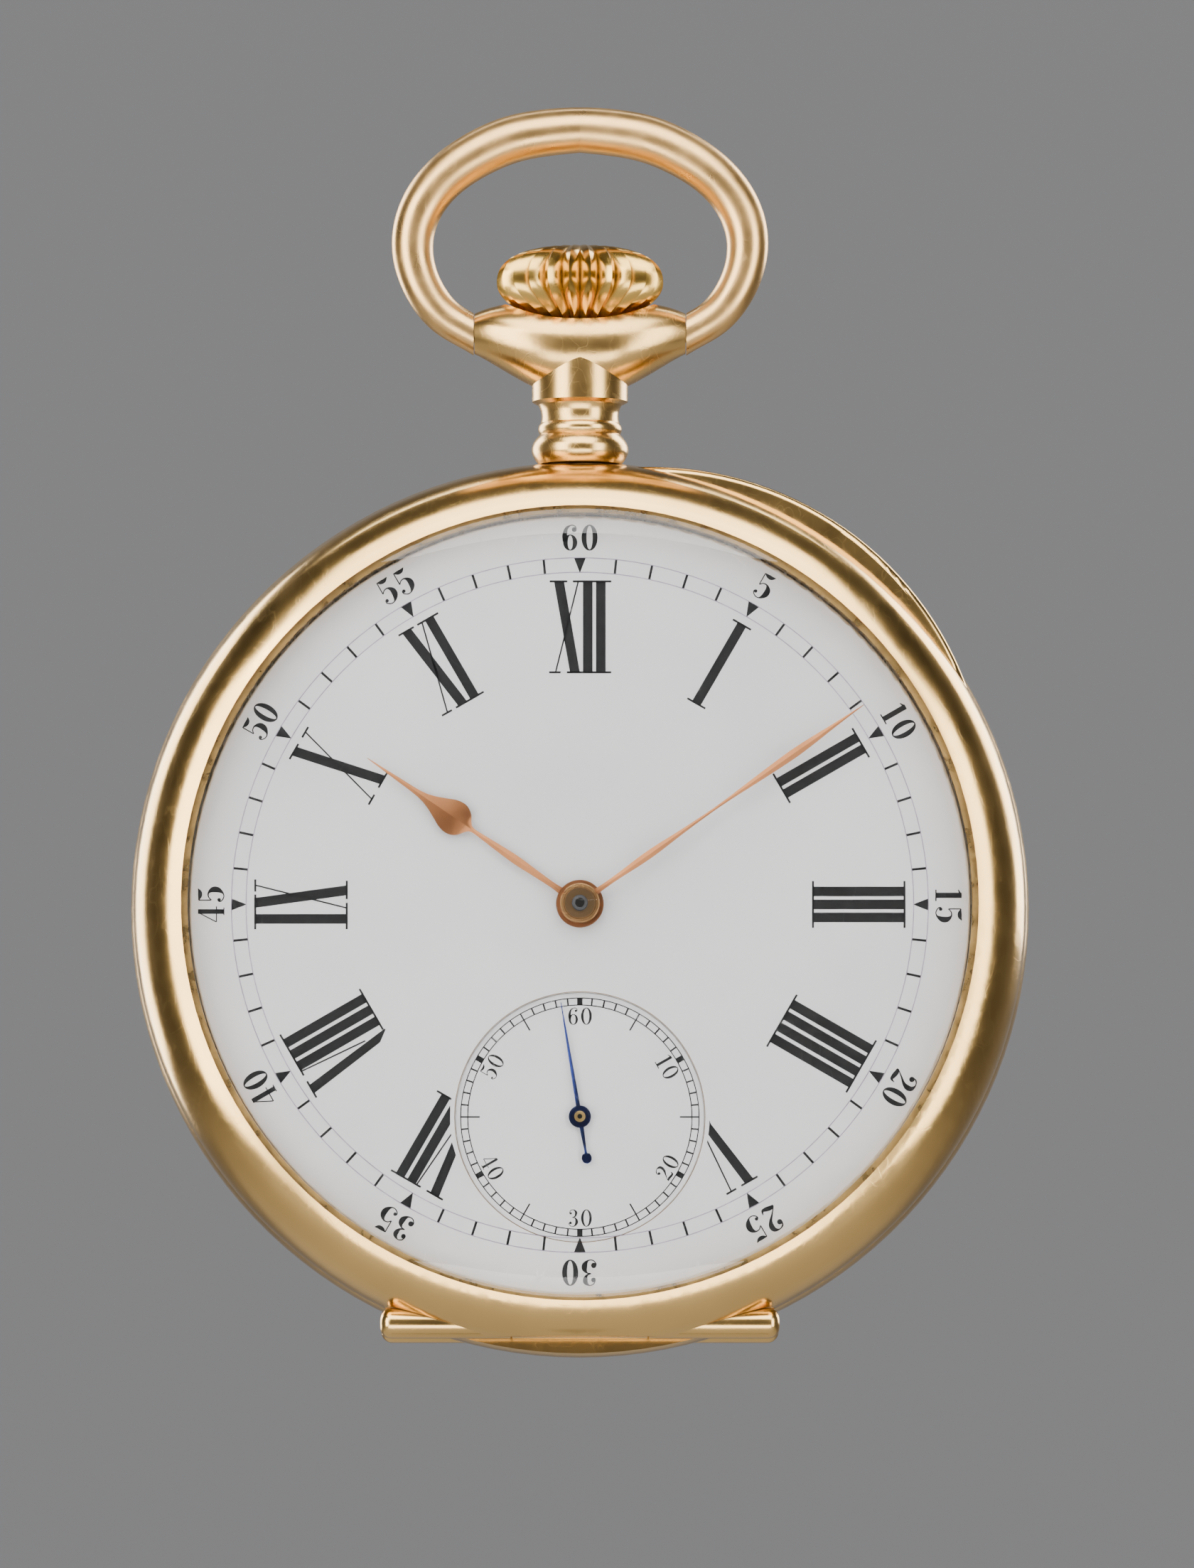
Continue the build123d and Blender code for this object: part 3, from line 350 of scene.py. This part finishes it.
def ring_print(store, r, width, z0, at=(0.0, 0.0), steps=240):
    """Thin printed circle."""
    verts, faces = store
    base = len(verts)
    inner, outer = r - width / 2, r + width / 2
    for k in range(steps):
        a = 2 * math.pi * k / steps
        for rr, dz in ((inner, 0), (outer, 0), (outer, PRINT_T), (inner, PRINT_T)):
            verts.append((at[0] + rr * math.cos(a), at[1] + rr * math.sin(a), z0 + dz))
    for k in range(steps):
        a0 = base + 4 * k
        b0 = base + 4 * ((k + 1) % steps)
        for m in range(4):
            faces.append([a0 + m, b0 + m, b0 + (m + 1) % 4, a0 + (m + 1) % 4])


def placed(points, r, deg, inward=False, at=(0.0, 0.0)):
    """Glyph points (x right, y up, origin at its middle) set on a circle, tops outwards or inwards."""
    out = []
    a = math.radians(deg)
    for x, y in points:
        if inward:
            x, y = -x, -y
        rr = r + y
        out.append((at[0] + rr * math.sin(a) + x * math.cos(a), at[1] + rr * math.cos(a) - x * math.sin(a)))
    return out


# ================= dial print =================


def smooth_path(points, per=10):
    """Smooth points through (x, y, half width) stations."""
    out = []
    n = len(points)
    for k in range(n - 1):
        p0 = points[max(k - 1, 0)]
        p1 = points[k]
        p2 = points[k + 1]
        p3 = points[min(k + 2, n - 1)]
        for m in range(per):
            t = m / per
            out.append(tuple(0.5 * (2 * b + (c - a) * t + (2 * a - 5 * b + 4 * c - d) * t * t
                                    + (3 * b - a - 3 * c + d) * t ** 3)
                             for a, b, c, d in zip(p0, p1, p2, p3)))
    out.append(tuple(points[-1]))
    return out


def brush(points, smooth=True):
    """Left and right edges of a stroke whose width changes along it."""
    path = smooth_path(points) if smooth else list(points)
    left, right = [], []
    for k, (x, y, w) in enumerate(path):
        x0, y0 = path[max(k - 1, 0)][:2]
        x1, y1 = path[min(k + 1, len(path) - 1)][:2]
        dx, dy = x1 - x0, y1 - y0
        size = math.hypot(dx, dy) or 1.0
        w = max(w, 0.02)
        left.append((x - dy / size * w, y + dx / size * w))
        right.append((x + dy / size * w, y - dx / size * w))
    return left, right


def oval(cx, cy, rx, ry, thick, thin, steps=36):
    """Closed bowl, thick at its sides and thin at top and bottom."""
    outer, inner = [], []
    for k in range(steps + 1):
        a = 2 * math.pi * k / steps
        c, s = math.cos(a), math.sin(a)
        outer.append((cx + rx * c, cy + ry * s))
        inner.append((cx + (rx - thick) * c, cy + (ry - thin) * s))
    return outer, inner


def dot(cx, cy, r, steps=16):
    """Round terminal of a stroke."""
    left, right = [], []
    for k in range(steps + 1):
        a = math.pi * k / steps
        left.append((cx + r * math.cos(a), cy + r * math.sin(a)))
        right.append((cx + r * math.cos(a), cy - r * math.sin(a)))
    return left, right


def digit(n, b):
    """Strokes of a high-contrast digit from 0 to 6, 1 high and centred; b scales the thick strokes."""
    if n == 0:
        return [oval(0, 0, 0.31, 0.5, 0.16 * b, 0.045)]
    if n == 1:
        return [brush([(0.02, 0.5, 0.085 * b), (0.02, -0.48, 0.085 * b)], False),
                brush([(-0.2, -0.48, 0.025), (0.24, -0.48, 0.025)], False),
                brush([(-0.2, 0.37, 0.012), (-0.1, 0.42, 0.03), (0.02, 0.485, 0.016)])]
    if n == 2:
        return [dot(-0.165, 0.24, 0.085 * b),
                brush([(-0.25, 0.24, 0.012), (-0.2, 0.4, 0.03), (-0.03, 0.478, 0.022), (0.15, 0.4, 0.07 * b),
                       (0.19, 0.24, 0.085 * b), (0.12, 0.05, 0.06), (-0.06, -0.16, 0.03),
                       (-0.25, -0.4, 0.012)]),
                brush([(-0.26, -0.44, 0.03), (-0.12, -0.4, 0.07 * b), (0.05, -0.43, 0.07 * b),
                       (0.2, -0.44, 0.05),
                       (0.26, -0.3, 0.012)])]
    if n == 3:
        return [dot(-0.15, 0.27, 0.075 * b), dot(-0.16, -0.28, 0.085 * b),
                brush([(-0.22, 0.28, 0.012), (-0.16, 0.42, 0.02), (0.0, 0.48, 0.018), (0.14, 0.38, 0.065 * b),
                       (0.16, 0.26, 0.075 * b), (0.1, 0.1, 0.04), (-0.06, 0.03, 0.012)]),
                brush([(-0.06, 0.03, 0.012), (0.1, 0.0, 0.03), (0.19, -0.14, 0.08 * b),
                       (0.18, -0.3, 0.085 * b),
                       (0.06, -0.46, 0.03), (-0.12, -0.475, 0.016), (-0.24, -0.36, 0.02),
                       (-0.245, -0.28, 0.012)])]
    if n == 4:
        return [brush([(0.1, 0.5, 0.075 * b), (0.1, -0.48, 0.075 * b)], False),
                brush([(0.06, 0.49, 0.014), (-0.3, -0.2, 0.014)], False),
                brush([(-0.3, -0.2, 0.016), (0.3, -0.2, 0.016)], False),
                brush([(-0.04, -0.485, 0.015), (0.25, -0.485, 0.015)], False)]
    if n == 5:
        return [brush([(-0.2, 0.48, 0.012), (-0.05, 0.43, 0.06 * b), (0.1, 0.43, 0.06 * b),
                       (0.24, 0.5, 0.012)]),
                brush([(-0.2, 0.48, 0.012), (-0.2, 0.0, 0.012)], False),
                brush([(-0.2, -0.01, 0.012), (-0.08, 0.1, 0.02), (0.08, 0.1, 0.035), (0.2, -0.06, 0.085 * b),
                       (0.19, -0.26, 0.085 * b), (0.06, -0.45, 0.03), (-0.1, -0.475, 0.016),
                       (-0.24, -0.38, 0.018),
                       (-0.25, -0.28, 0.012)]),
                dot(-0.19, -0.3, 0.055 * b)]
    return [oval(0, -0.19, 0.27, 0.31, 0.145 * b, 0.04), dot(0.15, 0.31, 0.075 * b),
            brush([(0.225, 0.31, 0.012), (0.19, 0.43, 0.02), (0.04, 0.478, 0.016), (-0.14, 0.36, 0.05 * b),
                   (-0.215, 0.1, 0.075 * b), (-0.205, -0.15, 0.07 * b)])]


def strip(store, left, right, z0):
    """Raised strip between two edges."""
    verts, faces = store
    base = len(verts)
    n = len(left)
    for (lx, ly), (rx, ry) in zip(left, right):
        verts.extend([(lx, ly, z0), (rx, ry, z0), (rx, ry, z0 + PRINT_T), (lx, ly, z0 + PRINT_T)])
    for k in range(n - 1):
        a = base + 4 * k
        b = a + 4
        for m in range(4):
            faces.append([a + m, b + m, b + (m + 1) % 4, a + (m + 1) % 4])
    faces.append([base, base + 1, base + 2, base + 3])
    last = base + 4 * (n - 1)
    faces.append([last + 3, last + 2, last + 1, last])


CUT_R = 8.04             # the hour numerals stop short of the seconds dial


def print_strokes(store, strokes, scale, r, deg, inward, z0, at=(0.0, 0.0), dx=0.0, clip=False):
    """Strokes of one glyph, scaled and set on a circle; clip stops them at the seconds dial."""
    for left, right in strokes:
        ends = []
        for edge in (left, right):
            pts = placed([(dx + x * scale, y * scale) for x, y in edge], r, deg, inward, at)
            ends.append(pts)
        if not clip:
            strip(store, ends[0], ends[1], z0)
            continue
        run = [[], []]
        for a, b in zip(*ends):
            da = math.hypot(a[0], a[1] - SUB_Y)
            db = math.hypot(b[0], b[1] - SUB_Y)
            if da < CUT_R and db < CUT_R:
                if len(run[0]) > 1:
                    strip(store, run[0], run[1], z0)
                run = [[], []]
                continue
            out = []
            for p, d in ((a, da), (b, db)):
                f = max(1.0, CUT_R / d)
                out.append((p[0] * f, SUB_Y + (p[1] - SUB_Y) * f) if f > 1 else p)
            run[0].append(out[0])
            run[1].append(out[1])
        if len(run[0]) > 1:
            strip(store, run[0], run[1], z0)


def long_bar(x0, y0, x1, y1, half, count=60):
    """Straight even stroke, finely divided so that it can be clipped."""
    left, right = [], []
    for k in range(count + 1):
        s = k / count
        x = x0 + (x1 - x0) * s
        y = y0 + (y1 - y0) * s
        left.append((x - half, y))
        right.append((x + half, y))
    return left, right


STEM = 0.3               # half width of a thick stroke
HAIRLINE = 0.047         # half width of a thin stroke
GAP = 0.21               # between two thick strokes
LOW, HIGH = -2.83, 2.83  # ends of the strokes about the numerals' middle circle
SERIF = 0.062            # half thickness of a serif


def slanted(top, apex, count=60):
    """Thick stroke of a V: even width, cut slanting so that its inner edge ends in a point."""
    left, right = [], []
    for k in range(count + 1):
        t = k / count
        x = top + (apex - 0.12 - top) * t
        left.append((x - STEM, HIGH + (LOW + 0.55 - HIGH) * t))
        right.append((x + STEM, HIGH + (LOW - 0.12 - HIGH) * t))
    left.append((apex + 0.1, LOW - 0.14))
    right.append((apex + 0.14, LOW - 0.14))
    return left, right


def serif(x0, x1, y):
    """Thin bar across the ends of strokes."""
    count = 30
    xs = [x0 + (x1 - x0) * k / count for k in range(count + 1)]
    return [(x, y - SERIF) for x in xs], [(x, y + SERIF) for x in xs]


# lean of the thick stroke of an X, and reach of its thin one
X_SHAPE = {"X": (1.2, 1.38), "XI": (0.76, 1.1), "IX": (0.78, 1.1), "XII": (0.99, 1.2)}


def numeral(word):
    """Strokes of a Roman numeral and its width, laid out from x = 0."""
    strokes = []
    x = 0.0
    top_from = None
    low_from = None
    for k, letter in enumerate(word):
        after = word[k + 1] if k + 1 < len(word) else None
        if letter == "I":
            top_from = x - 0.35 if top_from is None else top_from
            low_from = x - 0.35 if low_from is None else low_from
            strokes.append(long_bar(x + STEM, LOW, x + STEM, HIGH, STEM))
            x += 2 * STEM
            if after == "I":
                x += GAP
            else:
                over = 0.35 if after is None else 0.22
                strokes.append(serif(top_from, x + over, HIGH))
                strokes.append(serif(low_from, x + over, LOW))
                top_from = low_from = None
                x += 0.4
        elif letter == "V":
            first = x + STEM
            apex = x + 1.12
            thin = x + 1.58
            strokes.append(slanted(first, apex))
            strokes.append(serif(x - 0.3, x + 0.87, HIGH))
            strokes.append(long_bar(thin, HIGH, apex + 0.12, LOW + 1.3, HAIRLINE))
            if after is None:
                strokes.append(serif(thin - 0.35, thin + 0.35, HIGH))
                x = thin
            else:
                top_from = thin - 0.3
                x += 1.65
        else:
            lean, reach = X_SHAPE[word]
            top = x + STEM
            low = top + lean
            strokes.append(long_bar(top, HIGH, low, LOW, STEM * 1.03))
            strokes.append(long_bar(top + reach, HIGH, low - reach, LOW, HAIRLINE))
            strokes.append(serif(top - 0.58, top + 0.52, HIGH))
            strokes.append(serif(low - reach - 0.4, low - reach + 0.32, LOW))
            if after is None:
                strokes.append(serif(top + reach - 0.4, top + reach + 0.36, HIGH))
                strokes.append(serif(low - 0.55, low + 0.6, LOW))
                x = max(top + reach, low + STEM)
            else:
                top_from = top + reach - 0.34
                low_from = low - 0.5
                x = max(top + reach + 0.28 - (0.07 if lean < 0.9 else 0.0), low + STEM + 0.2)
    return strokes, x


NUMERAL_R = 17.3         # middle circle of the hour numerals
TRACK_R = 21.15          # middle circle of the minute track
NUMBER_R = 22.85         # middle circle of the minute numbers
NUMBER_H = 1.62          # height of the minute numbers
LINE_W = 0.06            # width of the printed circles

hours = ([], [])
for hour, word in ((1, "I"), (2, "II"), (3, "III"), (4, "IIII"), (5, "V"), (7, "VII"), (8, "VIII"), (9, "IX"),
                   (10, "X"), (11, "XI"), (12, "XII")):
    strokes, width = numeral(word)
    width -= 0.4 if word.endswith("I") else 0.0
    print_strokes(hours, strokes, 1.0, NUMERAL_R, hour * 30, False, TOP_Z, dx=-width / 2, clip=hour in (5, 7))
new_object("hour_numerals", hours[0], hours[1], INK, "case", smooth=False)

minutes = ([], [])
for k in range(60):
    if k % 5 == 0:
        tri = placed([(-0.37, 0.45), (0.37, 0.45), (0.0, -0.5)], TRACK_R, k * 6)
        add_print(minutes, tri, TOP_Z)
    else:
        bar = placed([(-0.075, -0.45), (0.075, -0.45), (0.075, 0.45), (-0.075, 0.45)], TRACK_R, k * 6)
        add_print(minutes, bar, TOP_Z)
for k in range(1, 13):
    figures = [int(c) for c in str(k * 5)]
    advance = 0.74 * NUMBER_H
    start = -advance * (len(figures) - 1) / 2
    for m, n in enumerate(figures):
        print_strokes(minutes, digit(n, 1.2), NUMBER_H, NUMBER_R, k * 30, False, TOP_Z, dx=start + m * advance)
new_object("minute_numerals", minutes[0], minutes[1], INK, "case", smooth=False)

lines = ([], [])
for r in (20.7, 21.6):
    ring_print(lines, r, LINE_W, TOP_Z)
new_object("minute_lines", lines[0], lines[1], LILAC, "case", smooth=False)

SEC_OUT, SEC_IN = 7.39, 6.95         # circles of the seconds track
SEC_NUMBER_R = 6.26
SEC_NUMBER_H = 1.07
seconds = ([], [])
for r in (SEC_OUT, SEC_IN):
    ring_print(seconds, r, LINE_W, SUB_TOP, (0, SUB_Y))
for k in range(60):
    if k % 10 == 0:
        half, r0 = 0.17, SEC_IN
    elif k % 5 == 0:
        half, r0 = 0.045, 6.2
    else:
        half, r0 = 0.05, SEC_IN
    mid = (r0 + SEC_OUT) / 2
    tall = (SEC_OUT - r0) / 2
    bar = placed([(-half, -tall), (half, -tall), (half, tall), (-half, tall)], mid, k * 6, False, (0, SUB_Y))
    add_print(seconds, bar, SUB_TOP)
for number in (10, 20, 30, 40, 50, 60):
    inward = number in (20, 30, 40)
    advance = 0.76 * SEC_NUMBER_H
    for m, n in enumerate(int(c) for c in str(number)):
        dx = (m - 0.5) * advance
        print_strokes(seconds, digit(n, 0.9), SEC_NUMBER_H, SEC_NUMBER_R, number * 6, inward, SUB_TOP,
                      (0, SUB_Y), dx)
new_object("seconds_print", seconds[0], seconds[1], INK, "case", smooth=False)

# painted shade: a thin brown ring round the rim of the sunk seconds dial, at its step
edge = ([], [])
ring_print(edge, 7.76, 0.05, TOP_Z, (0, SUB_Y))
new_object("seconds_edge_shade", edge[0], edge[1], SUNK_EDGE_SHADE, "case", smooth=False)


# ================= hands =================
TURN_STEPS = 72


def crease_by_angle(obj, limit=35):
    """Smooth shading except across sharp edges."""
    bm = bmesh.new()
    bm.from_mesh(obj.data)
    for e in bm.edges:
        if len(e.link_faces) == 2 and e.calc_face_angle(0) > math.radians(limit):
            e.smooth = False
    bm.to_mesh(obj.data)
    bm.free()


def turned(name, profile, at, body, material):
    """Piece turned about the dial's normal from a closed (radius, height) outline."""
    verts, faces = [], []
    n = len(profile)
    for k in range(TURN_STEPS):
        a = 2 * math.pi * k / TURN_STEPS
        for r, z in profile:
            verts.append((at[0] + r * math.cos(a), at[1] + r * math.sin(a), z))
    for k in range(TURN_STEPS):
        p = n * k
        q = n * ((k + 1) % TURN_STEPS)
        for m in range(n):
            faces.append([p + m, q + m, q + (m + 1) % n, p + (m + 1) % n])
    crease_by_angle(new_object(name, verts, faces, material, body))


def hand_mesh(name, stations, deg, z_low, edge_t, at, boss, body, material, node, boss_material=None):
    """Ridged hand from (distance, half width, ridge height) stations, with a turned boss, for a CAD node."""
    path = smooth_path(stations, 6)
    verts, faces = [], []
    a = math.radians(deg)
    for d, w, h in path:
        w = max(w, 0.012)
        for x, z in ((-w, 0.0), (-w, edge_t), (0.0, edge_t + max(h, 0.0)), (w, edge_t), (w, 0.0)):
            verts.append((at[0] + d * math.sin(a) + x * math.cos(a), at[1] + d * math.cos(a) - x * math.sin(a),
                          z_low + z))
    n = len(path)
    for k in range(n - 1):
        p, q = 5 * k, 5 * (k + 1)
        for m in range(5):
            faces.append([p + m, q + m, q + (m + 1) % 5, p + (m + 1) % 5])
    faces.append([0, 1, 2, 3, 4])
    faces.append([5 * (n - 1) + m for m in (4, 3, 2, 1, 0)])
    hand_obj = new_object(name, verts, faces, material, body, smooth=False)
    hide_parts(node)
    turned(name + "_boss", boss, at, body, boss_material or material)


BOSS_GOLD = gold("boss_gold", rgb(206, 156, 100), 0.2, 0.08, 0.1, 0.3)
minute_stations = [(1.0, 0.2, 0.03), (1.8, 0.16, 0.04), (3.0, 0.17, 0.06), (4.6, 0.24, 0.09),
                   (5.8, 0.24, 0.09),
                   (7.6, 0.15, 0.06), (9.6, 0.09, 0.04), (11.2, 0.1, 0.04), (13.6, 0.2, 0.08),
                   (15.8, 0.275, 0.1),
                   (17.2, 0.25, 0.09), (19.0, 0.14, 0.06), (20.6, 0.06, 0.03), (21.5, 0.02, 0.01)]
hand_mesh("minute_hand_blade", minute_stations, 55, 4.5, 0.07, (0, 0),
          [(0.81, 4.44), (1.17, 4.44), (1.23, 4.5), (1.23, 4.68), (1.17, 4.76), (1.02, 4.78), (0.95, 4.72),
           (0.81, 4.72)], "minute_hand", ROSE, "minute_hand", BOSS_GOLD)
hour_stations = [(1.2, 0.24, 0.03), (2.0, 0.18, 0.04), (3.4, 0.22, 0.06), (4.8, 0.27, 0.08),
                 (6.2, 0.22, 0.07),
                 (7.4, 0.15, 0.05), (8.1, 0.14, 0.05), (8.4, 0.34, 0.08), (8.7, 0.76, 0.12),
                 (9.1, 1.02, 0.15),
                 (9.5, 1.08, 0.16), (10.0, 0.98, 0.15), (10.6, 0.7, 0.12), (11.3, 0.4, 0.08),
                 (12.2, 0.2, 0.05),
                 (14.0, 0.11, 0.03), (16.0, 0.02, 0.01)]
hand_mesh("hour_hand_blade", hour_stations, 304.5, 3.86, 0.07, (0, 0),
          [(1.22, 3.8), (1.42, 3.8), (1.48, 3.86), (1.48, 4.04), (1.42, 4.1), (1.22, 4.1)],
          "hour_hand", ROSE, "hour_hand")
# painted shade: near-black discs laid in the dimples at the ends of the centre arbor and the seconds pivot
DIMPLE_SHADE = plain_metal("dimple_shade", rgb(52, 50, 48), 0.3)
BROWN = plain_metal("boss_face", rgb(150, 120, 84), 0.28)
turned("centre_dimple", [(0.0, 4.94), (0.29, 4.94), (0.29, 4.962), (0.0, 4.962)], (0, 0), "centre", DIMPLE_SHADE)
turned("boss_face", [(0.5, 4.6), (0.94, 4.6), (0.94, 4.735), (0.5, 4.735)], (0, 0), "minute_hand", BROWN)
turned("seconds_pivot", [(0.0, 3.5), (0.2, 3.5), (0.34, 3.5), (0.34, 3.72), (0.3, 3.75), (0.0, 3.75)],
       (0, SUB_Y), "fourth", GILT)
turned("seconds_dimple", [(0.0, 3.74), (0.15, 3.74), (0.15, 3.762), (0.0, 3.762)], (0, SUB_Y), "fourth", DIMPLE_SHADE)
second_stations = [(-2.95, 0.02, 0.01), (-2.85, 0.22, 0.03), (-2.6, 0.31, 0.04), (-2.35, 0.22, 0.03),
                   (-2.25, 0.075, 0.02), (-1.5, 0.1, 0.02), (-0.6, 0.13, 0.03), (0.6, 0.13, 0.03),
                   (3.0, 0.1, 0.03), (5.5, 0.06, 0.02), (7.2, 0.02, 0.01)]
hand_mesh("seconds_hand_blade", second_stations, -9.4, 3.42, 0.04, (0, SUB_Y),
          [(0.21, 3.3), (0.62, 3.3), (0.69, 3.36), (0.69, 3.56), (0.6, 3.66), (0.4, 3.68), (0.34, 3.64),
           (0.21, 3.64)],
          "fourth", BLUED, "seconds_hand")


# ================= crown =================
# the grooves between the crown's ribs get the strongest painted shade and grime
CROWN_GOLD = gold("crown_gold", rgb(222, 178, 92), 0.17, 0.08, 0.2, 0.9)
CREST = [(36.6, 2.3), (37.2, 3.2), (38.0, 4.4), (38.6, 5.0), (39.3, 5.25), (40.1, 5.05), (40.8, 4.4),
         (41.2, 3.5),
         (41.42, 2.6)]   # (y, radius) along the tops of the ribs
CROWN_R = 5.25
CROWN_TOP_Y = 41.4
RIBS = 24
STEPS_PER_RIB = 12
ROD_R = 1.05
ROD_ENDS_Y = (36.7, 33.0)
SQUARE = 0.55            # half the width of the stem's square
SQUARE_ENDS_Y = (33.4, 19.4)


def crown_mesh():
    """Onion crown with ribs, its rod and the square of its stem."""
    profile = smooth_path([(y, r, 0.0) for y, r in CREST], 5)
    verts, faces = [], []
    steps = RIBS * STEPS_PER_RIB
    n = len(profile)
    for k in range(steps):
        a = 2 * math.pi * k / steps
        from_crest = abs(((k / STEPS_PER_RIB) % 1.0) - 0.5) * 2
        for i, (y, r, _) in enumerate(profile):
            deep = 0.48 + 0.34 * math.sin(math.pi * (i / (n - 1)))
            rr = min(r - deep * (1 - abs(1 - from_crest) ** 0.85), CROWN_R)
            verts.append((rr * math.sin(a), y, rr * math.cos(a)))
    for k in range(steps):
        p = n * k
        q = n * ((k + 1) % steps)
        for i in range(n - 1):
            faces.append([p + i, q + i, q + i + 1, p + i + 1])
    top = len(verts)
    verts.append((0.0, CROWN_TOP_Y, 0.0))
    rod = len(verts)
    for y in ROD_ENDS_Y:
        for k in range(steps):
            a = 2 * math.pi * k / steps
            verts.append((ROD_R * math.sin(a), y, ROD_R * math.cos(a)))
    for k in range(steps):
        j = (k + 1) % steps
        faces.append([n * k + n - 1, n * j + n - 1, top])
        faces.append([n * k, rod + k, rod + j, n * j])
    for k in range(steps):
        j = (k + 1) % steps
        faces.append([rod + k, rod + steps + k, rod + steps + j, rod + j])
    faces.append([rod + steps + k for k in range(steps)])
    base = len(verts)
    for y in SQUARE_ENDS_Y:
        verts.extend([(-SQUARE, y, -SQUARE), (SQUARE, y, -SQUARE), (SQUARE, y, SQUARE), (-SQUARE, y, SQUARE)])
    faces.extend([[base + m, base + (m + 1) % 4, base + 4 + (m + 1) % 4, base + 4 + m] for m in range(4)])
    faces.append([base + 3, base + 2, base + 1, base])
    faces.append([base + 4, base + 5, base + 6, base + 7])
    obj = new_object("ribbed_crown", verts, faces, CROWN_GOLD, "crown")
    crease_by_angle(obj, 28)
    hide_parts("crown")


crown_mesh()

for name in ("train_bridge", "barrel_bridge", "balance_cock", "main_plate", "cuvette"):
    soften = NODES[name].modifiers.new("soft_edges", "BEVEL")
    soften.width = 0.0001
    soften.segments = 2
    soften.limit_method = "ANGLE"
    soften.angle_limit = math.radians(50)


# ================= floor, lights and camera =================
COVE_Z = -0.5            # the floor lies below the camera
COVE_R = 1.5             # radius of its flat part
COVE_BEND = 0.9
COVE_TOP_Z = 2.6
COVE_GREY = (0.24, 0.24, 0.245, 1)


def cove():
    """Plain mid-grey floor that curves up all round into a wall, as a photographer's cove does."""
    profile = [(0.02, COVE_Z), (COVE_R, COVE_Z)]
    for k in range(1, 13):
        a = math.pi / 2 * k / 12
        profile.append((COVE_R + COVE_BEND * math.sin(a), COVE_Z + COVE_BEND * (1 - math.cos(a))))
    profile.append((COVE_R + COVE_BEND, COVE_TOP_Z))
    verts, faces = [], []
    steps = 72
    n = len(profile)
    for k in range(steps):
        a = 2 * math.pi * k / steps
        for r, z in profile:
            verts.append((r * math.cos(a), r * math.sin(a), z))
    for k in range(steps):
        p = n * k
        q = n * ((k + 1) % steps)
        faces.extend([[p + m, q + m, q + m + 1, p + m + 1] for m in range(n - 1)])
    faces.append([n * k for k in range(steps)])
    mesh = bpy.data.meshes.new("cove")
    mesh.from_pydata(verts, [], faces)
    for p in mesh.polygons:
        p.use_smooth = True
    mesh.materials.append(Tree("paper", Base_Color=COVE_GREY, Roughness=0.85).mat)
    obj = bpy.data.objects.new("cove", mesh)
    bpy.context.collection.objects.link(obj)


def softbox(name, place, aim, wide, tall, watts, colour=(1, 1, 1)):
    """Rectangular area light that faces a point."""
    data = bpy.data.lights.new(name, "AREA")
    data.shape = "RECTANGLE"
    data.size = wide
    data.size_y = tall
    data.energy = watts
    data.color = colour
    obj = bpy.data.objects.new(name, data)
    bpy.context.collection.objects.link(obj)
    obj.location = place
    obj.rotation_euler = (Vector(aim) - Vector(place)).to_track_quat("-Z", "Y").to_euler()


cove()
MID = (0.0, 0.0, -0.045)
softbox("top", (0.0, -0.53, 0.56), MID, 1.0, 0.6, 13.0)
softbox("left", (-0.56, -0.58, 0.03), MID, 0.42, 0.8, 9.5, (1.0, 0.99, 0.97))
softbox("right", (0.6, -0.56, -0.02), MID, 0.36, 0.8, 6.5)
softbox("low", (0.0, -0.6, -0.41), MID, 0.7, 0.26, 3.6)
softbox("back_left", (-0.55, 0.5, 0.12), MID, 0.4, 0.7, 7.0)
softbox("back_right", (0.5, 0.5, 0.25), MID, 0.4, 0.6, 6.0)
softbox("paper_light", (0.0, 0.7, 1.3), (0.0, 2.3, 0.0), 1.6, 0.6, 24.0)
softbox("front_paper", (0.0, -1.3, 1.3), (0.0, -2.3, 0.0), 1.6, 0.5, 8.0)

world = bpy.data.worlds.new("studio")
bpy.context.scene.world = world
world.use_nodes = True
background = world.node_tree.nodes["Background"]
background.inputs["Color"].default_value = (0.72, 0.73, 0.75, 1)
background.inputs["Strength"].default_value = 0.13

lens = bpy.data.cameras.new("camera")
camera = bpy.data.objects.new("camera", lens)
bpy.context.collection.objects.link(camera)
TARGET = Vector((0.001065, 0.0, -0.0397))
DISTANCE = 1.0
TILT = math.radians(5)   # the camera looks up from a little below
SENSOR_MM = 36
VIEW_WIDTH = 0.09787     # metres across the frame at the target
camera.location = TARGET + DISTANCE * Vector((0, -math.cos(TILT), -math.sin(TILT)))
camera.rotation_euler = (TARGET - camera.location).to_track_quat("-Z", "Y").to_euler()
lens.sensor_width = SENSOR_MM
lens.lens = SENSOR_MM * DISTANCE / VIEW_WIDTH
lens.clip_start = 0.01
lens.clip_end = 20
lens.dof.use_dof = False
bpy.context.scene.camera = camera
